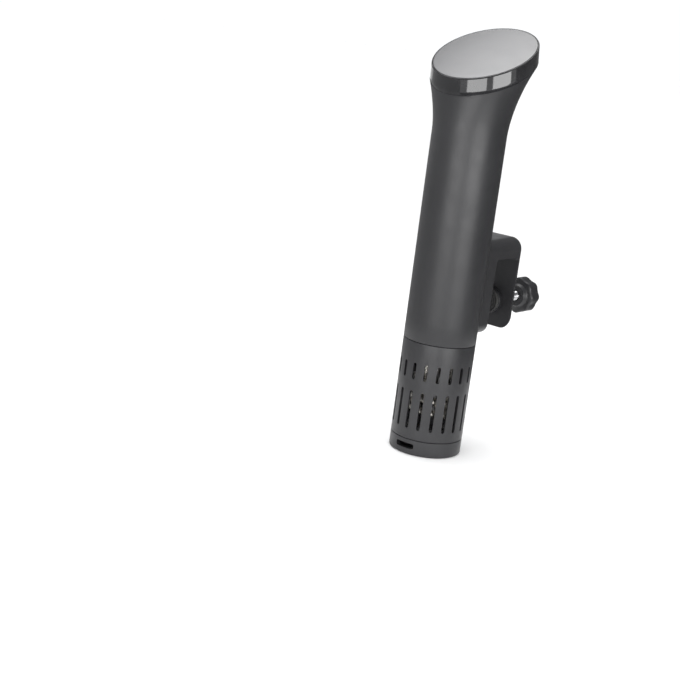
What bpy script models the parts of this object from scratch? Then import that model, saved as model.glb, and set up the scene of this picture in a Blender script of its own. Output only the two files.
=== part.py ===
"""Immersion circulator for low-temperature cooking: a stirrer and heater that clamps to a vessel's wall.

Units are metres. +Z runs up the body's axis, the vessel clamp is on the +Y side, and the origin is the
centre of the foot's flat underside. The slanted control head faces -Y.
"""

import math

import bmesh
import bpy
from mathutils import Euler, Vector

# Clearances
GAP = 0.0003
SLIDE_GAP = 0.0004

# Overall
TOTAL_HEIGHT = 0.3249
BODY_R = 0.028
BODY_WALL = 0.0024

# Head: a slanted disc with a deep glossy band round it
HEAD_TILT = math.radians(30)
PANEL_R = 0.0389
PANEL_THICK = 0.002
HEAD_SETBACK = 0.0052
RIM_WIDTH = 0.0012
RIM_DROP = 0.0019
BAND_DEPTH = 0.0111
BAND_SPREAD = 0.0003
BAND_SKEW = 0.0045
BAND_WALL = 0.0026
FLARE_START_BELOW_HEAD = 0.059
FLARE_POWER = 1.7
LEDGE_WIDTH = 0.0027
LEDGE_THICK = 0.0018
GASKET_THICK = 0.0006
BOARD_THICK = 0.0016
DISPLAY_THICK = 0.0018
DISPLAY_WIDTH = 0.026
DISPLAY_DEPTH = 0.013
TOUCH_R = 0.003
TOUCH_SPACING = 0.0125
TOUCH_SETBACK = 0.017
CARRIER_HEIGHT = 0.0028
BUZZER_R = 0.006
BUZZER_HEIGHT = 0.006

# Wet end
FOOT_HEIGHT = 0.012
FOOT_FLOOR = 0.0024
FOOT_WALL = 0.0022
FOOT_LIP = 0.005
FOOT_SLOTS = 10
FOOT_SLOT_WIDTH = 0.0024
FOOT_PLATE_R = 0.010
OUTLET_WIDTH = 0.016
OUTLET_HEIGHT = 0.0042
SKIRT_HEIGHT = 0.0755
SKIRT_WALL = 0.0017
SLOT_COUNT = 18
SLOT_WIDTH = 0.0028
LOW_SLOT_Z = 0.008
LOW_SLOT_HEIGHT = 0.030
HIGH_SLOT_Z = 0.047
HIGH_SLOT_HEIGHT = 0.013
BULKHEAD_COLLAR = 0.0077
BULKHEAD_PLUG = 0.0100
O_RING_R = 0.0011
O_RING_RISE = 0.0052
SHAFT_R = 0.0020
SHAFT_TUBE_WALL = 0.0014
TUBE_BOTTOM_Z = 0.0215
PUMP_PLATE_THICK = 0.0020
PUMP_HUB_WALL = 0.0024
PUMP_HUB_HEIGHT = 0.0060
PUMP_WINDOWS = 6
BUSH_HEIGHT = 0.0040
IMPELLER_R = 0.016
IMPELLER_HUB_R = 0.0055
IMPELLER_FLOOR = 0.0016
IMPELLER_HEIGHT = 0.0070
IMPELLER_Z = 0.0070
VANE_COUNT = 6
VANE_THICK = 0.0014
HEATER_TUBE_R = 0.0030
COIL_TURNS = 3
COIL_PITCH = 0.0095
COIL_ABOVE_PUMP = 0.0005
COIL_TO_RETURN = 0.0012
RETURN_TO_TUBE = 0.0015
HEATER_STUB = 0.0020
TERMINAL_R = 0.0022
TERMINAL_HEIGHT = 0.0080
PROBE_R = 0.0025
PROBE_CIRCLE_R = 0.0183
PROBE_ABOVE_COIL = 0.0030
LEVEL_PROBE_R = 0.0012
LEVEL_PROBE_CIRCLE_R = 0.0195
LEVEL_PROBES_ABOVE_COIL = (0.0120, 0.0040)

# Drive
SEAL_HEIGHT = 0.0030
SEAL_WALL = 0.0026
MOTOR_R = 0.0140
MOTOR_CAN_HEIGHT = 0.0320
MOTOR_CAN_WALL = 0.0012
MOTOR_CAP_HEIGHT = 0.0040
ROTOR_R = 0.0100
ROTOR_HEIGHT = 0.0230
ISOLATOR_HEIGHT = 0.0024
MOUNT_THICK = 0.0026
STANDOFF_HEIGHT = 0.0140
STANDOFF_R = 0.0024
STANDOFF_CIRCLE_R = 0.0200
STANDOFF_COUNT = 3
WIRE_NOTCH = 0.0120
WIRE_R = 0.0010
COUPLING_R = 0.0045
COUPLING_HEIGHT = 0.0100

# Electronics in the body
FRAME_RING_HEIGHT = 0.0050
FRAME_PLATE_THICK = 0.0022
FRAME_RAIL_DEPTH = 0.0060
FRAME_SETBACK = 0.0110
POWER_BOARD_LENGTH = 0.0760
POWER_BOARD_SETBACK = 0.0070
TERMINAL_BLOCK_HEIGHT = 0.0100
TERMINAL_BLOCK_RISE = 0.0090

# Vessel clamp
CLAMP_HALF_WIDTH = 0.0200
CLAMP_TOP_Z = 0.1676
CLAMP_TOP_FALL = 0.0022
CLAMP_BOTTOM_Z = 0.0930
ARM_THICK = 0.0155
JAW_THICK = 0.0047
CLAMP_OPENING = 0.0310
LEG_THICK = 0.0080
LEG_BOSS_R = 0.0105
LEG_BOSS_RISE = 0.0050
CLAMP_CORNER_R = 0.0103
CLAMP_EDGE_R = 0.0085
JAW_PAD_THICK = 0.0015
JAW_PAD_HALF_WIDTH = 0.0150
SCREW_RISE = 0.0210
SCREW_R = 0.0040
INSERT_WALL = 0.0028
PRESSURE_PAD_R = 0.0110
PRESSURE_PAD_THICK = 0.0040
PRESSURE_FACE_THICK = 0.0020
SOCKET_DEPTH = 0.0022
KNOB_R = 0.0150
KNOB_DEPTH = 0.0150
KNOB_BORE_DEPTH = 0.0090
KNOB_LOBES = 8
KNOB_LOBE_DEPTH = 0.0011
BRACKET_SCREW_R = 0.0015
BRACKET_SCREW_HEAD_R = 0.0028
BRACKET_SCREW_HEAD = 0.0018
BRACKET_SCREW_BITE = 0.0034
BRACKET_SCREW_INSET = 0.0140
BRACKET_SCREW_CLEAR = 0.0015

# Cord inlet
GLAND_BELOW_FLARE = 0.0105
GLAND_R = 0.0055
GLAND_LENGTH = 0.0075
GLAND_SHANK_R = 0.0042
GLAND_BORE_R = 0.0034
GLAND_NUT_THICK = 0.0028
GLAND_NUT_WALL = 0.0016

# Worked-out stations up the axis
SKIRT_BOTTOM_Z = FOOT_HEIGHT + GAP
SKIRT_TOP_Z = SKIRT_BOTTOM_Z + SKIRT_HEIGHT
HOUSING_BOTTOM_Z = SKIRT_TOP_Z + GAP
BULKHEAD_TOP_Z = HOUSING_BOTTOM_Z + BULKHEAD_PLUG
HEAD_Z = TOTAL_HEIGHT - PANEL_R * math.sin(HEAD_TILT)
FLARE_Z = HEAD_Z - FLARE_START_BELOW_HEAD
GLAND_Z = FLARE_Z - GLAND_BELOW_FLARE
MOTOR_PLATE_Z = BULKHEAD_TOP_Z + GAP + STANDOFF_HEIGHT + GAP
ISOLATOR_Z = MOTOR_PLATE_Z + MOUNT_THICK + GAP
MOTOR_Z = ISOLATOR_Z + ISOLATOR_HEIGHT + GAP
MOTOR_CAP_Z = MOTOR_Z + MOTOR_CAN_HEIGHT + GAP
PUMP_TOP_Z = TUBE_BOTTOM_Z - GAP + PUMP_HUB_HEIGHT
COIL_BOTTOM_Z = PUMP_TOP_Z + COIL_ABOVE_PUMP + HEATER_TUBE_R
COIL_TOP_Z = COIL_BOTTOM_Z + COIL_TURNS * COIL_PITCH
FRAME_Z = MOTOR_CAP_Z + MOTOR_CAP_HEIGHT + SLIDE_GAP + GAP
BOARD_Z = FRAME_Z + FRAME_RING_HEIGHT + GAP

# Worked-out radii
HOUSING_BORE_R = BODY_R - BODY_WALL
SKIRT_BORE_R = BODY_R - SKIRT_WALL
COLLAR_R = SKIRT_BORE_R - SLIDE_GAP
PLUG_R = HOUSING_BORE_R - GAP
SHAFT_TUBE_BORE_R = SHAFT_R + GAP * 3
SHAFT_TUBE_R = SHAFT_TUBE_BORE_R + SHAFT_TUBE_WALL
HEATER_RETURN_R = SHAFT_TUBE_R + RETURN_TO_TUBE + HEATER_TUBE_R
COIL_R = HEATER_RETURN_R + COIL_TO_RETURN + 2 * HEATER_TUBE_R
BAND_TOP_R = PANEL_R + RIM_WIDTH
BAND_BOTTOM_R = BAND_TOP_R + BAND_SPREAD
PANEL_SEAT_R = PANEL_R + GAP

# Worked-out places behind the body, along +Y
JAW_FACE_Y = BODY_R + GAP + JAW_THICK
LEG_FACE_Y = JAW_FACE_Y + CLAMP_OPENING
LEG_BACK_Y = LEG_FACE_Y + LEG_THICK
SCREW_Z = CLAMP_BOTTOM_Z + SCREW_RISE
PAD_BACK_Y = LEG_FACE_Y - GAP
PAD_FRONT_Y = PAD_BACK_Y - PRESSURE_PAD_THICK
FACE_FRONT_Y = PAD_FRONT_Y - GAP - PRESSURE_FACE_THICK
JAW_PAD_FRONT_Y = JAW_FACE_Y + GAP + JAW_PAD_THICK
PAD_TRAVEL = FACE_FRONT_Y - JAW_PAD_FRONT_Y - GAP
BOSS_BACK_Y = LEG_BACK_Y + LEG_BOSS_RISE
KNOB_FRONT_Y = BOSS_BACK_Y + PAD_TRAVEL + 2 * GAP

# Places round the axis, in degrees
HEATER_OUT_ANGLE = 0.0
HEATER_BACK_ANGLE = 180.0
PROBE_ANGLE = 120.0
LEVEL_PROBE_ANGLES = (240.0, 265.0)
STANDOFF_START = 90.0

FINE = 48
ROUND = 32
MEDIUM = 24
SMALL = 12

FINISHES = {
    "satin_black": ((0.045, 0.045, 0.050), 0.45, 0.0),
    "gloss_black": ((0.012, 0.012, 0.013), 0.08, 0.0),
    "panel_grey": ((0.10, 0.10, 0.105), 0.30, 0.0),
    "moulded_black": ((0.03, 0.03, 0.032), 0.38, 0.0),
    "rubber": ((0.02, 0.02, 0.02), 0.85, 0.0),
    "silicone": ((0.35, 0.08, 0.05), 0.60, 0.0),
    "board_green": ((0.03, 0.16, 0.07), 0.45, 0.0),
    "component": ((0.05, 0.05, 0.06), 0.50, 0.0),
    "component_yellow": ((0.75, 0.60, 0.15), 0.50, 0.0),
    "steel": ((0.62, 0.62, 0.63), 0.28, 1.0),
    "aluminium": ((0.72, 0.73, 0.75), 0.35, 1.0),
    "brass": ((0.72, 0.55, 0.25), 0.30, 1.0),
    "nylon": ((0.80, 0.79, 0.74), 0.50, 0.0),
    "ceramic": ((0.85, 0.84, 0.80), 0.40, 0.0),
}


# ---------------------------------------------------------------- scene and materials


def clear_scene():
    for obj in list(bpy.data.objects):
        bpy.data.objects.remove(obj, do_unlink=True)


def new_collection(name, hidden=False):
    made = bpy.data.collections.new(name)
    made.hide_render = hidden
    bpy.context.scene.collection.children.link(made)
    return made


def finish_of(name):
    made = bpy.data.materials.get(name)
    if made:
        return made
    colour, roughness, metallic = FINISHES[name]
    made = bpy.data.materials.new(name)
    made.use_nodes = True
    shader = made.node_tree.nodes["Principled BSDF"]
    shader.inputs["Base Color"].default_value = (*colour, 1.0)
    shader.inputs["Roughness"].default_value = roughness
    shader.inputs["Metallic"].default_value = metallic
    return made


def place(obj, finish=None, location=(0, 0, 0), rotation=(0, 0, 0), parent=None):
    """Puts an object in the parts collection, or among the cutters when it has no finish."""
    target = PARTS if finish else CUTTERS
    for holder in list(obj.users_collection):
        holder.objects.unlink(obj)
    target.objects.link(obj)
    obj.location = location
    obj.rotation_euler = rotation
    obj.parent = parent
    if finish:
        obj.data.materials.clear()
        obj.data.materials.append(finish_of(finish))
    else:
        obj.hide_render = True
        obj.display_type = "WIRE"
    return obj


def empty(name, location, rotation=(0, 0, 0)):
    made = bpy.data.objects.new(name, None)
    PARTS.objects.link(made)
    made.location = location
    made.rotation_euler = rotation
    return made


# ---------------------------------------------------------------- shapes


def turned(name, profile, finish=None, segments=MEDIUM, ring=False, **where):
    """A shape turned about its own Z. The profile holds (radius, height) down the outer side."""
    mesh = bpy.data.meshes.new(name)
    points = [(radius, 0, height) for radius, height in profile]
    edges = [(i, i + 1) for i in range(len(points) - 1)]
    if ring:
        edges.append((len(points) - 1, 0))
    mesh.from_pydata(points, edges, [])
    obj = bpy.data.objects.new(name, mesh)
    screw = obj.modifiers.new("turn", "SCREW")
    screw.steps = segments
    screw.render_steps = segments
    screw.use_merge_vertices = True
    screw.merge_threshold = 0.00001
    return place(obj, finish, **where)


def rod(name, radius, low, high, finish=None, segments=SMALL, chamfer=0.0, **where):
    """A solid round bar along its own Z, with a chamfer at both ends where one is given."""
    if chamfer:
        profile = [
            (0, high),
            (radius - chamfer, high),
            (radius, high - chamfer),
            (radius, low + chamfer),
            (radius - chamfer, low),
            (0, low),
        ]
    else:
        profile = [(0, high), (radius, high), (radius, low), (0, low)]
    return turned(name, profile, finish, segments, **where)


def collar(name, outer, inner, low, high, finish=None, segments=MEDIUM, **where):
    """A plain ring of rectangular section."""
    profile = [(inner, high), (outer, high), (outer, low), (inner, low)]
    return turned(name, profile, finish, segments, ring=True, **where)


def block(name, size, finish=None, edge=0.0, **where):
    """A box of the given full size, with rounded edges where edge is given."""
    mesh = bpy.data.meshes.new(name)
    shape = bmesh.new()
    bmesh.ops.create_cube(shape, size=1.0)
    bmesh.ops.scale(shape, vec=Vector(size), verts=shape.verts)
    shape.to_mesh(mesh)
    shape.free()
    obj = bpy.data.objects.new(name, mesh)
    if edge:
        bevel = obj.modifiers.new("edges", "BEVEL")
        bevel.width = edge
        bevel.segments = 2
    return place(obj, finish, **where)


def skinned(name, rings, finish=None, closed=False, **where):
    """A loft through rings of equal count, either closed on itself like a tyre or capped at both ends."""
    count = len(rings[0])
    points = [point for ring in rings for point in ring]
    bands = len(rings) if closed else len(rings) - 1
    faces = []
    for band in range(bands):
        here = band * count
        there = ((band + 1) % len(rings)) * count
        for i in range(count):
            j = (i + 1) % count
            faces.append((here + i, here + j, there + j, there + i))
    if not closed:
        faces.append(tuple(reversed(range(count))))
        faces.append(tuple(range((len(rings) - 1) * count, len(rings) * count)))
    mesh = bpy.data.meshes.new(name)
    mesh.from_pydata([tuple(point) for point in points], [], faces)
    shape = bmesh.new()
    shape.from_mesh(mesh)
    bmesh.ops.recalc_face_normals(shape, faces=shape.faces)
    shape.to_mesh(mesh)
    shape.free()
    mesh.shade_smooth()
    mesh.set_sharp_from_angle(angle=math.radians(35))
    return place(bpy.data.objects.new(name, mesh), finish, **where)


def wire(name, points, radius, finish, resolution=2, **where):
    """A round bar along a run of points."""
    curve = bpy.data.curves.new(name, "CURVE")
    curve.dimensions = "3D"
    curve.bevel_depth = radius
    curve.bevel_resolution = resolution
    curve.use_fill_caps = True
    run = curve.splines.new("POLY")
    run.points.add(len(points) - 1)
    for knot, point in zip(run.points, points):
        knot.co = (*point, 1.0)
    return place(bpy.data.objects.new(name, curve), finish, **where)


def corner(centre, radius, start, sweep=90, steps=6):
    """Points of an arc, in degrees, anticlockwise from start."""
    turns = [math.radians(start + sweep * i / steps) for i in range(steps + 1)]
    return [(centre[0] + radius * math.cos(t), centre[1] + radius * math.sin(t)) for t in turns]


def cut(target, cutter):
    boolean = target.modifiers.new("cut_" + cutter.name, "BOOLEAN")
    boolean.operation = "DIFFERENCE"
    boolean.object = cutter


def join(target, other):
    boolean = target.modifiers.new("join_" + other.name, "BOOLEAN")
    boolean.operation = "UNION"
    boolean.object = other


def round_at(radius, degrees, height=0.0):
    turn = math.radians(degrees)
    return Vector((radius * math.cos(turn), radius * math.sin(turn), height))


def chord_half(radius, distance):
    """Half the width of a circle at a distance from its centre."""
    return math.sqrt(radius * radius - distance * distance)


# ---------------------------------------------------------------- body and head


def slanted(radius, depth, degrees, skew=0.0):
    """A point of a circle that lies in the head's slant, in the body's frame."""
    tilt = Euler((HEAD_TILT, 0, 0)).to_matrix()
    turn = math.radians(degrees)
    local = Vector((radius * math.cos(turn), radius * math.sin(turn) - skew, -depth))
    return Vector((0, HEAD_SETBACK, HEAD_Z)) + tilt @ local


def flare_rings(inset, steps=7):
    """Rings from the flare's start up to the band's lower edge, drawn in by inset from the outside."""
    rings = []
    for step in range(1, steps + 1):
        share = step / steps
        ring = []
        for i in range(FINE):
            degrees = 360 * i / FINE
            base = round_at(BODY_R - inset, degrees, FLARE_Z)
            top = slanted(BAND_BOTTOM_R - inset, BAND_DEPTH, degrees, BAND_SKEW)
            spread = share**FLARE_POWER
            x = base.x + (top.x - base.x) * spread
            y = base.y + (top.y - base.y) * spread
            ring.append(Vector((x, y, FLARE_Z + (top.z - FLARE_Z) * share)))
        rings.append(ring)
    return rings


def straight_ring(radius, height):
    return [round_at(radius, 360 * i / FINE, height) for i in range(FINE)]


def body_housing():
    outside = [straight_ring(BODY_R, HOUSING_BOTTOM_Z), straight_ring(BODY_R, FLARE_Z)]
    outside += flare_rings(0.0)
    inside = [straight_ring(HOUSING_BORE_R, HOUSING_BOTTOM_Z), straight_ring(HOUSING_BORE_R, FLARE_Z)]
    inside += flare_rings(BODY_WALL)
    housing = skinned("body_housing", outside + inside[::-1], "satin_black", closed=True)
    hole_depth = BODY_WALL * 3
    for index, height in enumerate(bracket_screw_heights()):
        cutter = rod(f"cut_bracket_screw_{index + 1}", BRACKET_SCREW_R + GAP, -hole_depth, hole_depth)
        cutter.location = (0, BODY_R, height)
        cutter.rotation_euler = BACKWARD
        cut(housing, cutter)
    gland_hole = rod("cut_gland", GLAND_SHANK_R + GAP, -hole_depth, hole_depth, segments=MEDIUM)
    gland_hole.location = (0, BODY_R, GLAND_Z)
    gland_hole.rotation_euler = BACKWARD
    cut(housing, gland_hole)
    return housing


def band_ring(radius, depth):
    """A ring of the band in the head's own frame. The band leans forward as it goes down."""
    share = max(0.0, depth - RIM_DROP) / (BAND_DEPTH - RIM_DROP)
    skew = Vector((0, -BAND_SKEW * share, -depth))
    return [round_at(radius, 360 * i / FINE) + skew for i in range(FINE)]


def seat_ring(radius, depth):
    """A ring of the panel's seat, straight below the panel."""
    return [round_at(radius, 360 * i / FINE) - Vector((0, 0, depth)) for i in range(FINE)]


def head_band(head):
    ledge_top = PANEL_THICK + GAP + GASKET_THICK + GAP
    ledge_r = PANEL_SEAT_R - LEDGE_WIDTH
    bottom = BAND_DEPTH - GAP
    rings = [
        seat_ring(PANEL_SEAT_R, ledge_top),
        seat_ring(PANEL_SEAT_R, GAP),
        band_ring(PANEL_SEAT_R + RIM_WIDTH * 0.35, GAP),
        band_ring(BAND_TOP_R, RIM_DROP),
        band_ring(BAND_BOTTOM_R, bottom),
        band_ring(BAND_BOTTOM_R - BAND_WALL, bottom),
        band_ring(BAND_TOP_R - BAND_WALL, ledge_top + LEDGE_THICK),
        seat_ring(ledge_r, ledge_top + LEDGE_THICK),
        seat_ring(ledge_r, ledge_top),
    ]
    return skinned("head_band", rings, "gloss_black", closed=True, parent=head)


def display_panel(head):
    edge = 0.0004
    profile = [
        (0, 0),
        (PANEL_R - edge, 0),
        (PANEL_R, -edge),
        (PANEL_R, -PANEL_THICK),
        (0, -PANEL_THICK),
    ]
    return turned("display_panel", profile, "panel_grey", FINE, parent=head)


def panel_gasket(head):
    top = -PANEL_THICK - GAP
    inner = PANEL_SEAT_R - LEDGE_WIDTH + GAP
    return collar("panel_gasket", PANEL_R - GAP, inner, top - GASKET_THICK, top, "rubber", ROUND, parent=head)


def display_stack(head):
    """The control board under the panel, what stands on it, and the carrier that holds it."""
    board_top = -PANEL_THICK - GAP - DISPLAY_THICK - GAP
    board_r = PANEL_SEAT_R - LEDGE_WIDTH - GAP - BAND_SKEW
    carrier_top = board_top - BOARD_THICK - GAP
    carrier_r = board_r
    bar_half = BAND_WALL * 1.5
    rod("display_board", board_r, board_top - BOARD_THICK, board_top, "board_green", MEDIUM, parent=head)
    centre = board_top + GAP + (DISPLAY_THICK - GAP) / 2
    size = (DISPLAY_WIDTH, DISPLAY_DEPTH, DISPLAY_THICK - GAP)
    block("led_display", size, "component", 0.0003, location=(0, DISPLAY_DEPTH / 2, centre), parent=head)
    for index in (-1, 0, 1):
        rod(
            f"touch_spring_{index + 2}",
            TOUCH_R,
            board_top + GAP,
            -PANEL_THICK - GAP,
            "steel",
            16,
            location=(index * TOUCH_SPACING, -TOUCH_SETBACK, 0),
            parent=head,
        )
    carrier = collar(
        "display_carrier",
        carrier_r,
        carrier_r - BAND_WALL * 2,
        carrier_top - CARRIER_HEIGHT,
        carrier_top,
        "moulded_black",
        parent=head,
    )
    spoke = block(
        "join_carrier_bar",
        (2 * chord_half(carrier_r, carrier_r / 2 + bar_half) - GAP, 2 * bar_half, CARRIER_HEIGHT * 0.6),
        location=(0, -carrier_r / 2, carrier_top - CARRIER_HEIGHT / 2),
        parent=head,
    )
    join(carrier, spoke)
    rod(
        "buzzer",
        BUZZER_R,
        carrier_top - BUZZER_HEIGHT,
        carrier_top,
        "component",
        SMALL,
        chamfer=0.0005,
        location=(carrier_r / 2, carrier_r / 4, 0),
        parent=head,
    )


# ---------------------------------------------------------------- wet end


def ring_of_slots(name, count, width, low, high, inner, outer):
    """Radial cutters, one for each pair of facing slots, joined into one cutter object."""
    mesh = bpy.data.meshes.new(name)
    shape = bmesh.new()
    for index in range(count):
        made = bmesh.ops.create_cube(shape, size=1.0)["verts"]
        bmesh.ops.scale(shape, vec=Vector((outer - inner, width, high - low)), verts=made)
        bmesh.ops.translate(shape, vec=Vector(((inner + outer) / 2, 0, (low + high) / 2)), verts=made)
        turn = Euler((0, 0, 2 * math.pi * (index + 0.5) / count)).to_matrix()
        bmesh.ops.rotate(shape, cent=Vector((0, 0, 0)), matrix=turn, verts=made)
    shape.to_mesh(mesh)
    shape.free()
    return place(bpy.data.objects.new(name, mesh))


def skirt():
    tube = collar("skirt", BODY_R, SKIRT_BORE_R, SKIRT_BOTTOM_Z, SKIRT_TOP_Z, "moulded_black", FINE)
    reach = (SKIRT_BORE_R - SKIRT_WALL * 2, BODY_R + SKIRT_WALL)
    low = SKIRT_BOTTOM_Z + LOW_SLOT_Z
    high = SKIRT_BOTTOM_Z + HIGH_SLOT_Z
    cut(tube, ring_of_slots("cut_low_slots", SLOT_COUNT, SLOT_WIDTH, low, low + LOW_SLOT_HEIGHT, *reach))
    cut(tube, ring_of_slots("cut_high_slots", SLOT_COUNT, SLOT_WIDTH, high, high + HIGH_SLOT_HEIGHT, *reach))
    return tube


def foot_cap():
    lip_r = SKIRT_BORE_R - GAP
    lip_bore = lip_r - FOOT_WALL
    edge = 0.0012
    profile = [
        (lip_bore, FOOT_HEIGHT + FOOT_LIP),
        (lip_r, FOOT_HEIGHT + FOOT_LIP),
        (lip_r, FOOT_HEIGHT),
        (BODY_R, FOOT_HEIGHT),
        (BODY_R, edge),
        (BODY_R - edge, 0),
        (0, 0),
        (0, FOOT_FLOOR),
        (lip_bore, FOOT_FLOOR),
    ]
    cap = turned("foot_cap", profile, "moulded_black", FINE, ring=True)
    slots = ring_of_slots(
        "cut_foot_slots",
        FOOT_SLOTS,
        FOOT_SLOT_WIDTH,
        -FOOT_FLOOR,
        FOOT_FLOOR * 2,
        FOOT_PLATE_R,
        lip_bore - FOOT_WALL,
    )
    cut(cap, slots)
    outlet = block(
        "cut_outlet",
        (OUTLET_WIDTH, BODY_R, OUTLET_HEIGHT),
        location=(0, -BODY_R, FOOT_FLOOR + FOOT_WALL + OUTLET_HEIGHT / 2),
    )
    cut(cap, outlet)
    return cap


def bulkhead():
    """The plug that closes the dry body and carries the heater, the probes and the pump's tube."""
    groove_r = PLUG_R - 2 * O_RING_R - GAP
    ring_z = HOUSING_BOTTOM_Z + O_RING_RISE
    half = O_RING_R + GAP
    bore = SHAFT_TUBE_R + GAP
    bottom = SKIRT_TOP_Z - BULKHEAD_COLLAR
    profile = [
        (bore, BULKHEAD_TOP_Z),
        (PLUG_R, BULKHEAD_TOP_Z),
        (PLUG_R, ring_z + half),
        (groove_r, ring_z + half),
        (groove_r, ring_z - half),
        (PLUG_R, ring_z - half),
        (PLUG_R, SKIRT_TOP_Z),
        (COLLAR_R, SKIRT_TOP_Z),
        (COLLAR_R, bottom),
        (bore, bottom),
    ]
    plug = turned("bulkhead", profile, "moulded_black", ROUND, ring=True)
    through = [(HEATER_TUBE_R, heater_out()), (HEATER_TUBE_R, heater_back())]
    through += [(PROBE_R, round_at(PROBE_CIRCLE_R, PROBE_ANGLE))]
    through += [(LEVEL_PROBE_R, round_at(LEVEL_PROBE_CIRCLE_R, angle)) for angle in LEVEL_PROBE_ANGLES]
    for index, (radius, spot) in enumerate(through):
        hole = rod(
            f"cut_bulkhead_{index + 1}",
            radius + GAP,
            bottom - BULKHEAD_COLLAR,
            BULKHEAD_TOP_Z + BULKHEAD_COLLAR,
            location=(spot.x, spot.y, 0),
        )
        cut(plug, hole)
    return plug


def bulkhead_o_ring():
    centre_r = PLUG_R - O_RING_R
    centre_z = HOUSING_BOTTOM_Z + O_RING_RISE
    sides = 8
    profile = []
    for i in range(sides):
        turn = math.pi / 2 - 2 * math.pi * i / sides
        profile.append((centre_r + O_RING_R * math.cos(turn), centre_z + O_RING_R * math.sin(turn)))
    return turned("bulkhead_o_ring", profile, "silicone", ROUND, ring=True)


def heater_out():
    return round_at(COIL_R, HEATER_OUT_ANGLE)


def heater_back():
    return round_at(HEATER_RETURN_R, HEATER_BACK_ANGLE)


def heater_coil():
    """Down one straight leg, round the coil, then in under it and up the second leg by the axis."""
    top = BULKHEAD_TOP_Z + HEATER_STUB
    bend = HEATER_TUBE_R * 2
    lead_in = HEATER_OUT_ANGLE + math.degrees(bend / COIL_R)
    lead_out = HEATER_BACK_ANGLE - math.degrees(bend / HEATER_RETURN_R)
    coil_end = HEATER_OUT_ANGLE + 360 * COIL_TURNS
    quarter = [math.pi / 2 * step / 4 for step in range(5)]
    points = [round_at(COIL_R, HEATER_OUT_ANGLE, top)]
    for turn in quarter:
        angle = HEATER_OUT_ANGLE + (lead_in - HEATER_OUT_ANGLE) * (1 - math.cos(turn))
        points.append(round_at(COIL_R, angle, COIL_TOP_Z + bend * (1 - math.sin(turn))))
    count = COIL_TURNS * 16
    for step in range(1, count + 1):
        share = step / count
        height = COIL_TOP_Z + (COIL_BOTTOM_Z - COIL_TOP_Z) * share
        points.append(round_at(COIL_R, lead_in + (coil_end - lead_in) * share, height))
    inward = 7
    for step in range(1, inward + 1):
        share = step / inward
        radius = COIL_R + (HEATER_RETURN_R - COIL_R) * share * share * (3 - 2 * share)
        points.append(round_at(radius, coil_end + (lead_out - HEATER_OUT_ANGLE) * share, COIL_BOTTOM_Z))
    for turn in quarter[1:]:
        angle = lead_out + (HEATER_BACK_ANGLE - lead_out) * math.sin(turn)
        points.append(round_at(HEATER_RETURN_R, angle, COIL_BOTTOM_Z + bend * (1 - math.cos(turn))))
    points.append(round_at(HEATER_RETURN_R, HEATER_BACK_ANGLE, top))
    return wire("heater_coil", points, HEATER_TUBE_R, "steel")


def heater_terminals():
    foot = BULKHEAD_TOP_Z + HEATER_STUB + GAP
    for index, spot in enumerate((heater_out(), heater_back())):
        pin_r = TERMINAL_R * 0.4
        top = foot + TERMINAL_HEIGHT
        profile = [
            (0, top),
            (pin_r, top),
            (pin_r, foot + TERMINAL_HEIGHT * 0.5),
            (TERMINAL_R, foot + TERMINAL_HEIGHT * 0.5),
            (TERMINAL_R, foot),
            (0, foot),
        ]
        turned(f"heater_terminal_{index + 1}", profile, "ceramic", SMALL, location=(spot.x, spot.y, 0))


def probes():
    top = BULKHEAD_TOP_Z + HEATER_STUB
    coil_crest = COIL_TOP_Z + HEATER_TUBE_R
    spot = round_at(PROBE_CIRCLE_R, PROBE_ANGLE)
    low = coil_crest + PROBE_ABOVE_COIL
    rod("temperature_probe", PROBE_R, low, top, "steel", SMALL, 0.0010, location=(spot.x, spot.y, 0))
    for index, (angle, above) in enumerate(zip(LEVEL_PROBE_ANGLES, LEVEL_PROBES_ABOVE_COIL)):
        spot = round_at(LEVEL_PROBE_CIRCLE_R, angle)
        low = coil_crest + above
        name = f"level_probe_{index + 1}"
        rod(name, LEVEL_PROBE_R, low, top, "steel", 8, 0.0003, location=(spot.x, spot.y, 0))


def pump_plate():
    """The guide at the tube's foot: a hub round the tube, a windowed disc, and the bush's seat."""
    hub_r = SHAFT_TUBE_R + GAP + PUMP_HUB_WALL
    bush_r = SHAFT_TUBE_R
    low = TUBE_BOTTOM_Z - GAP - BUSH_HEIGHT
    disc_low = TUBE_BOTTOM_Z - PUMP_PLATE_THICK
    disc_r = COLLAR_R - SLIDE_GAP
    bore = bush_r + GAP
    profile = [
        (bore, PUMP_TOP_Z),
        (hub_r, PUMP_TOP_Z),
        (hub_r, disc_low + PUMP_PLATE_THICK),
        (disc_r, disc_low + PUMP_PLATE_THICK),
        (disc_r, disc_low),
        (hub_r, disc_low),
        (hub_r, low),
        (bore, low),
    ]
    guide = turned("pump_plate", profile, "moulded_black", ROUND, ring=True)
    windows = ring_of_slots(
        "cut_pump_windows",
        PUMP_WINDOWS,
        hub_r,
        disc_low - PUMP_PLATE_THICK,
        disc_low + PUMP_PLATE_THICK * 2,
        hub_r + PUMP_HUB_WALL,
        disc_r - PUMP_HUB_WALL,
    )
    cut(guide, windows)
    return guide


def shaft_tube():
    return collar(
        "shaft_tube",
        SHAFT_TUBE_R,
        SHAFT_TUBE_BORE_R,
        TUBE_BOTTOM_Z,
        BULKHEAD_TOP_Z,
        "steel",
        SMALL,
    )


def lower_bush():
    low = TUBE_BOTTOM_Z - GAP - BUSH_HEIGHT
    return collar("lower_bush", SHAFT_TUBE_R, SHAFT_R + GAP, low, low + BUSH_HEIGHT, "nylon", SMALL)


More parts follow.
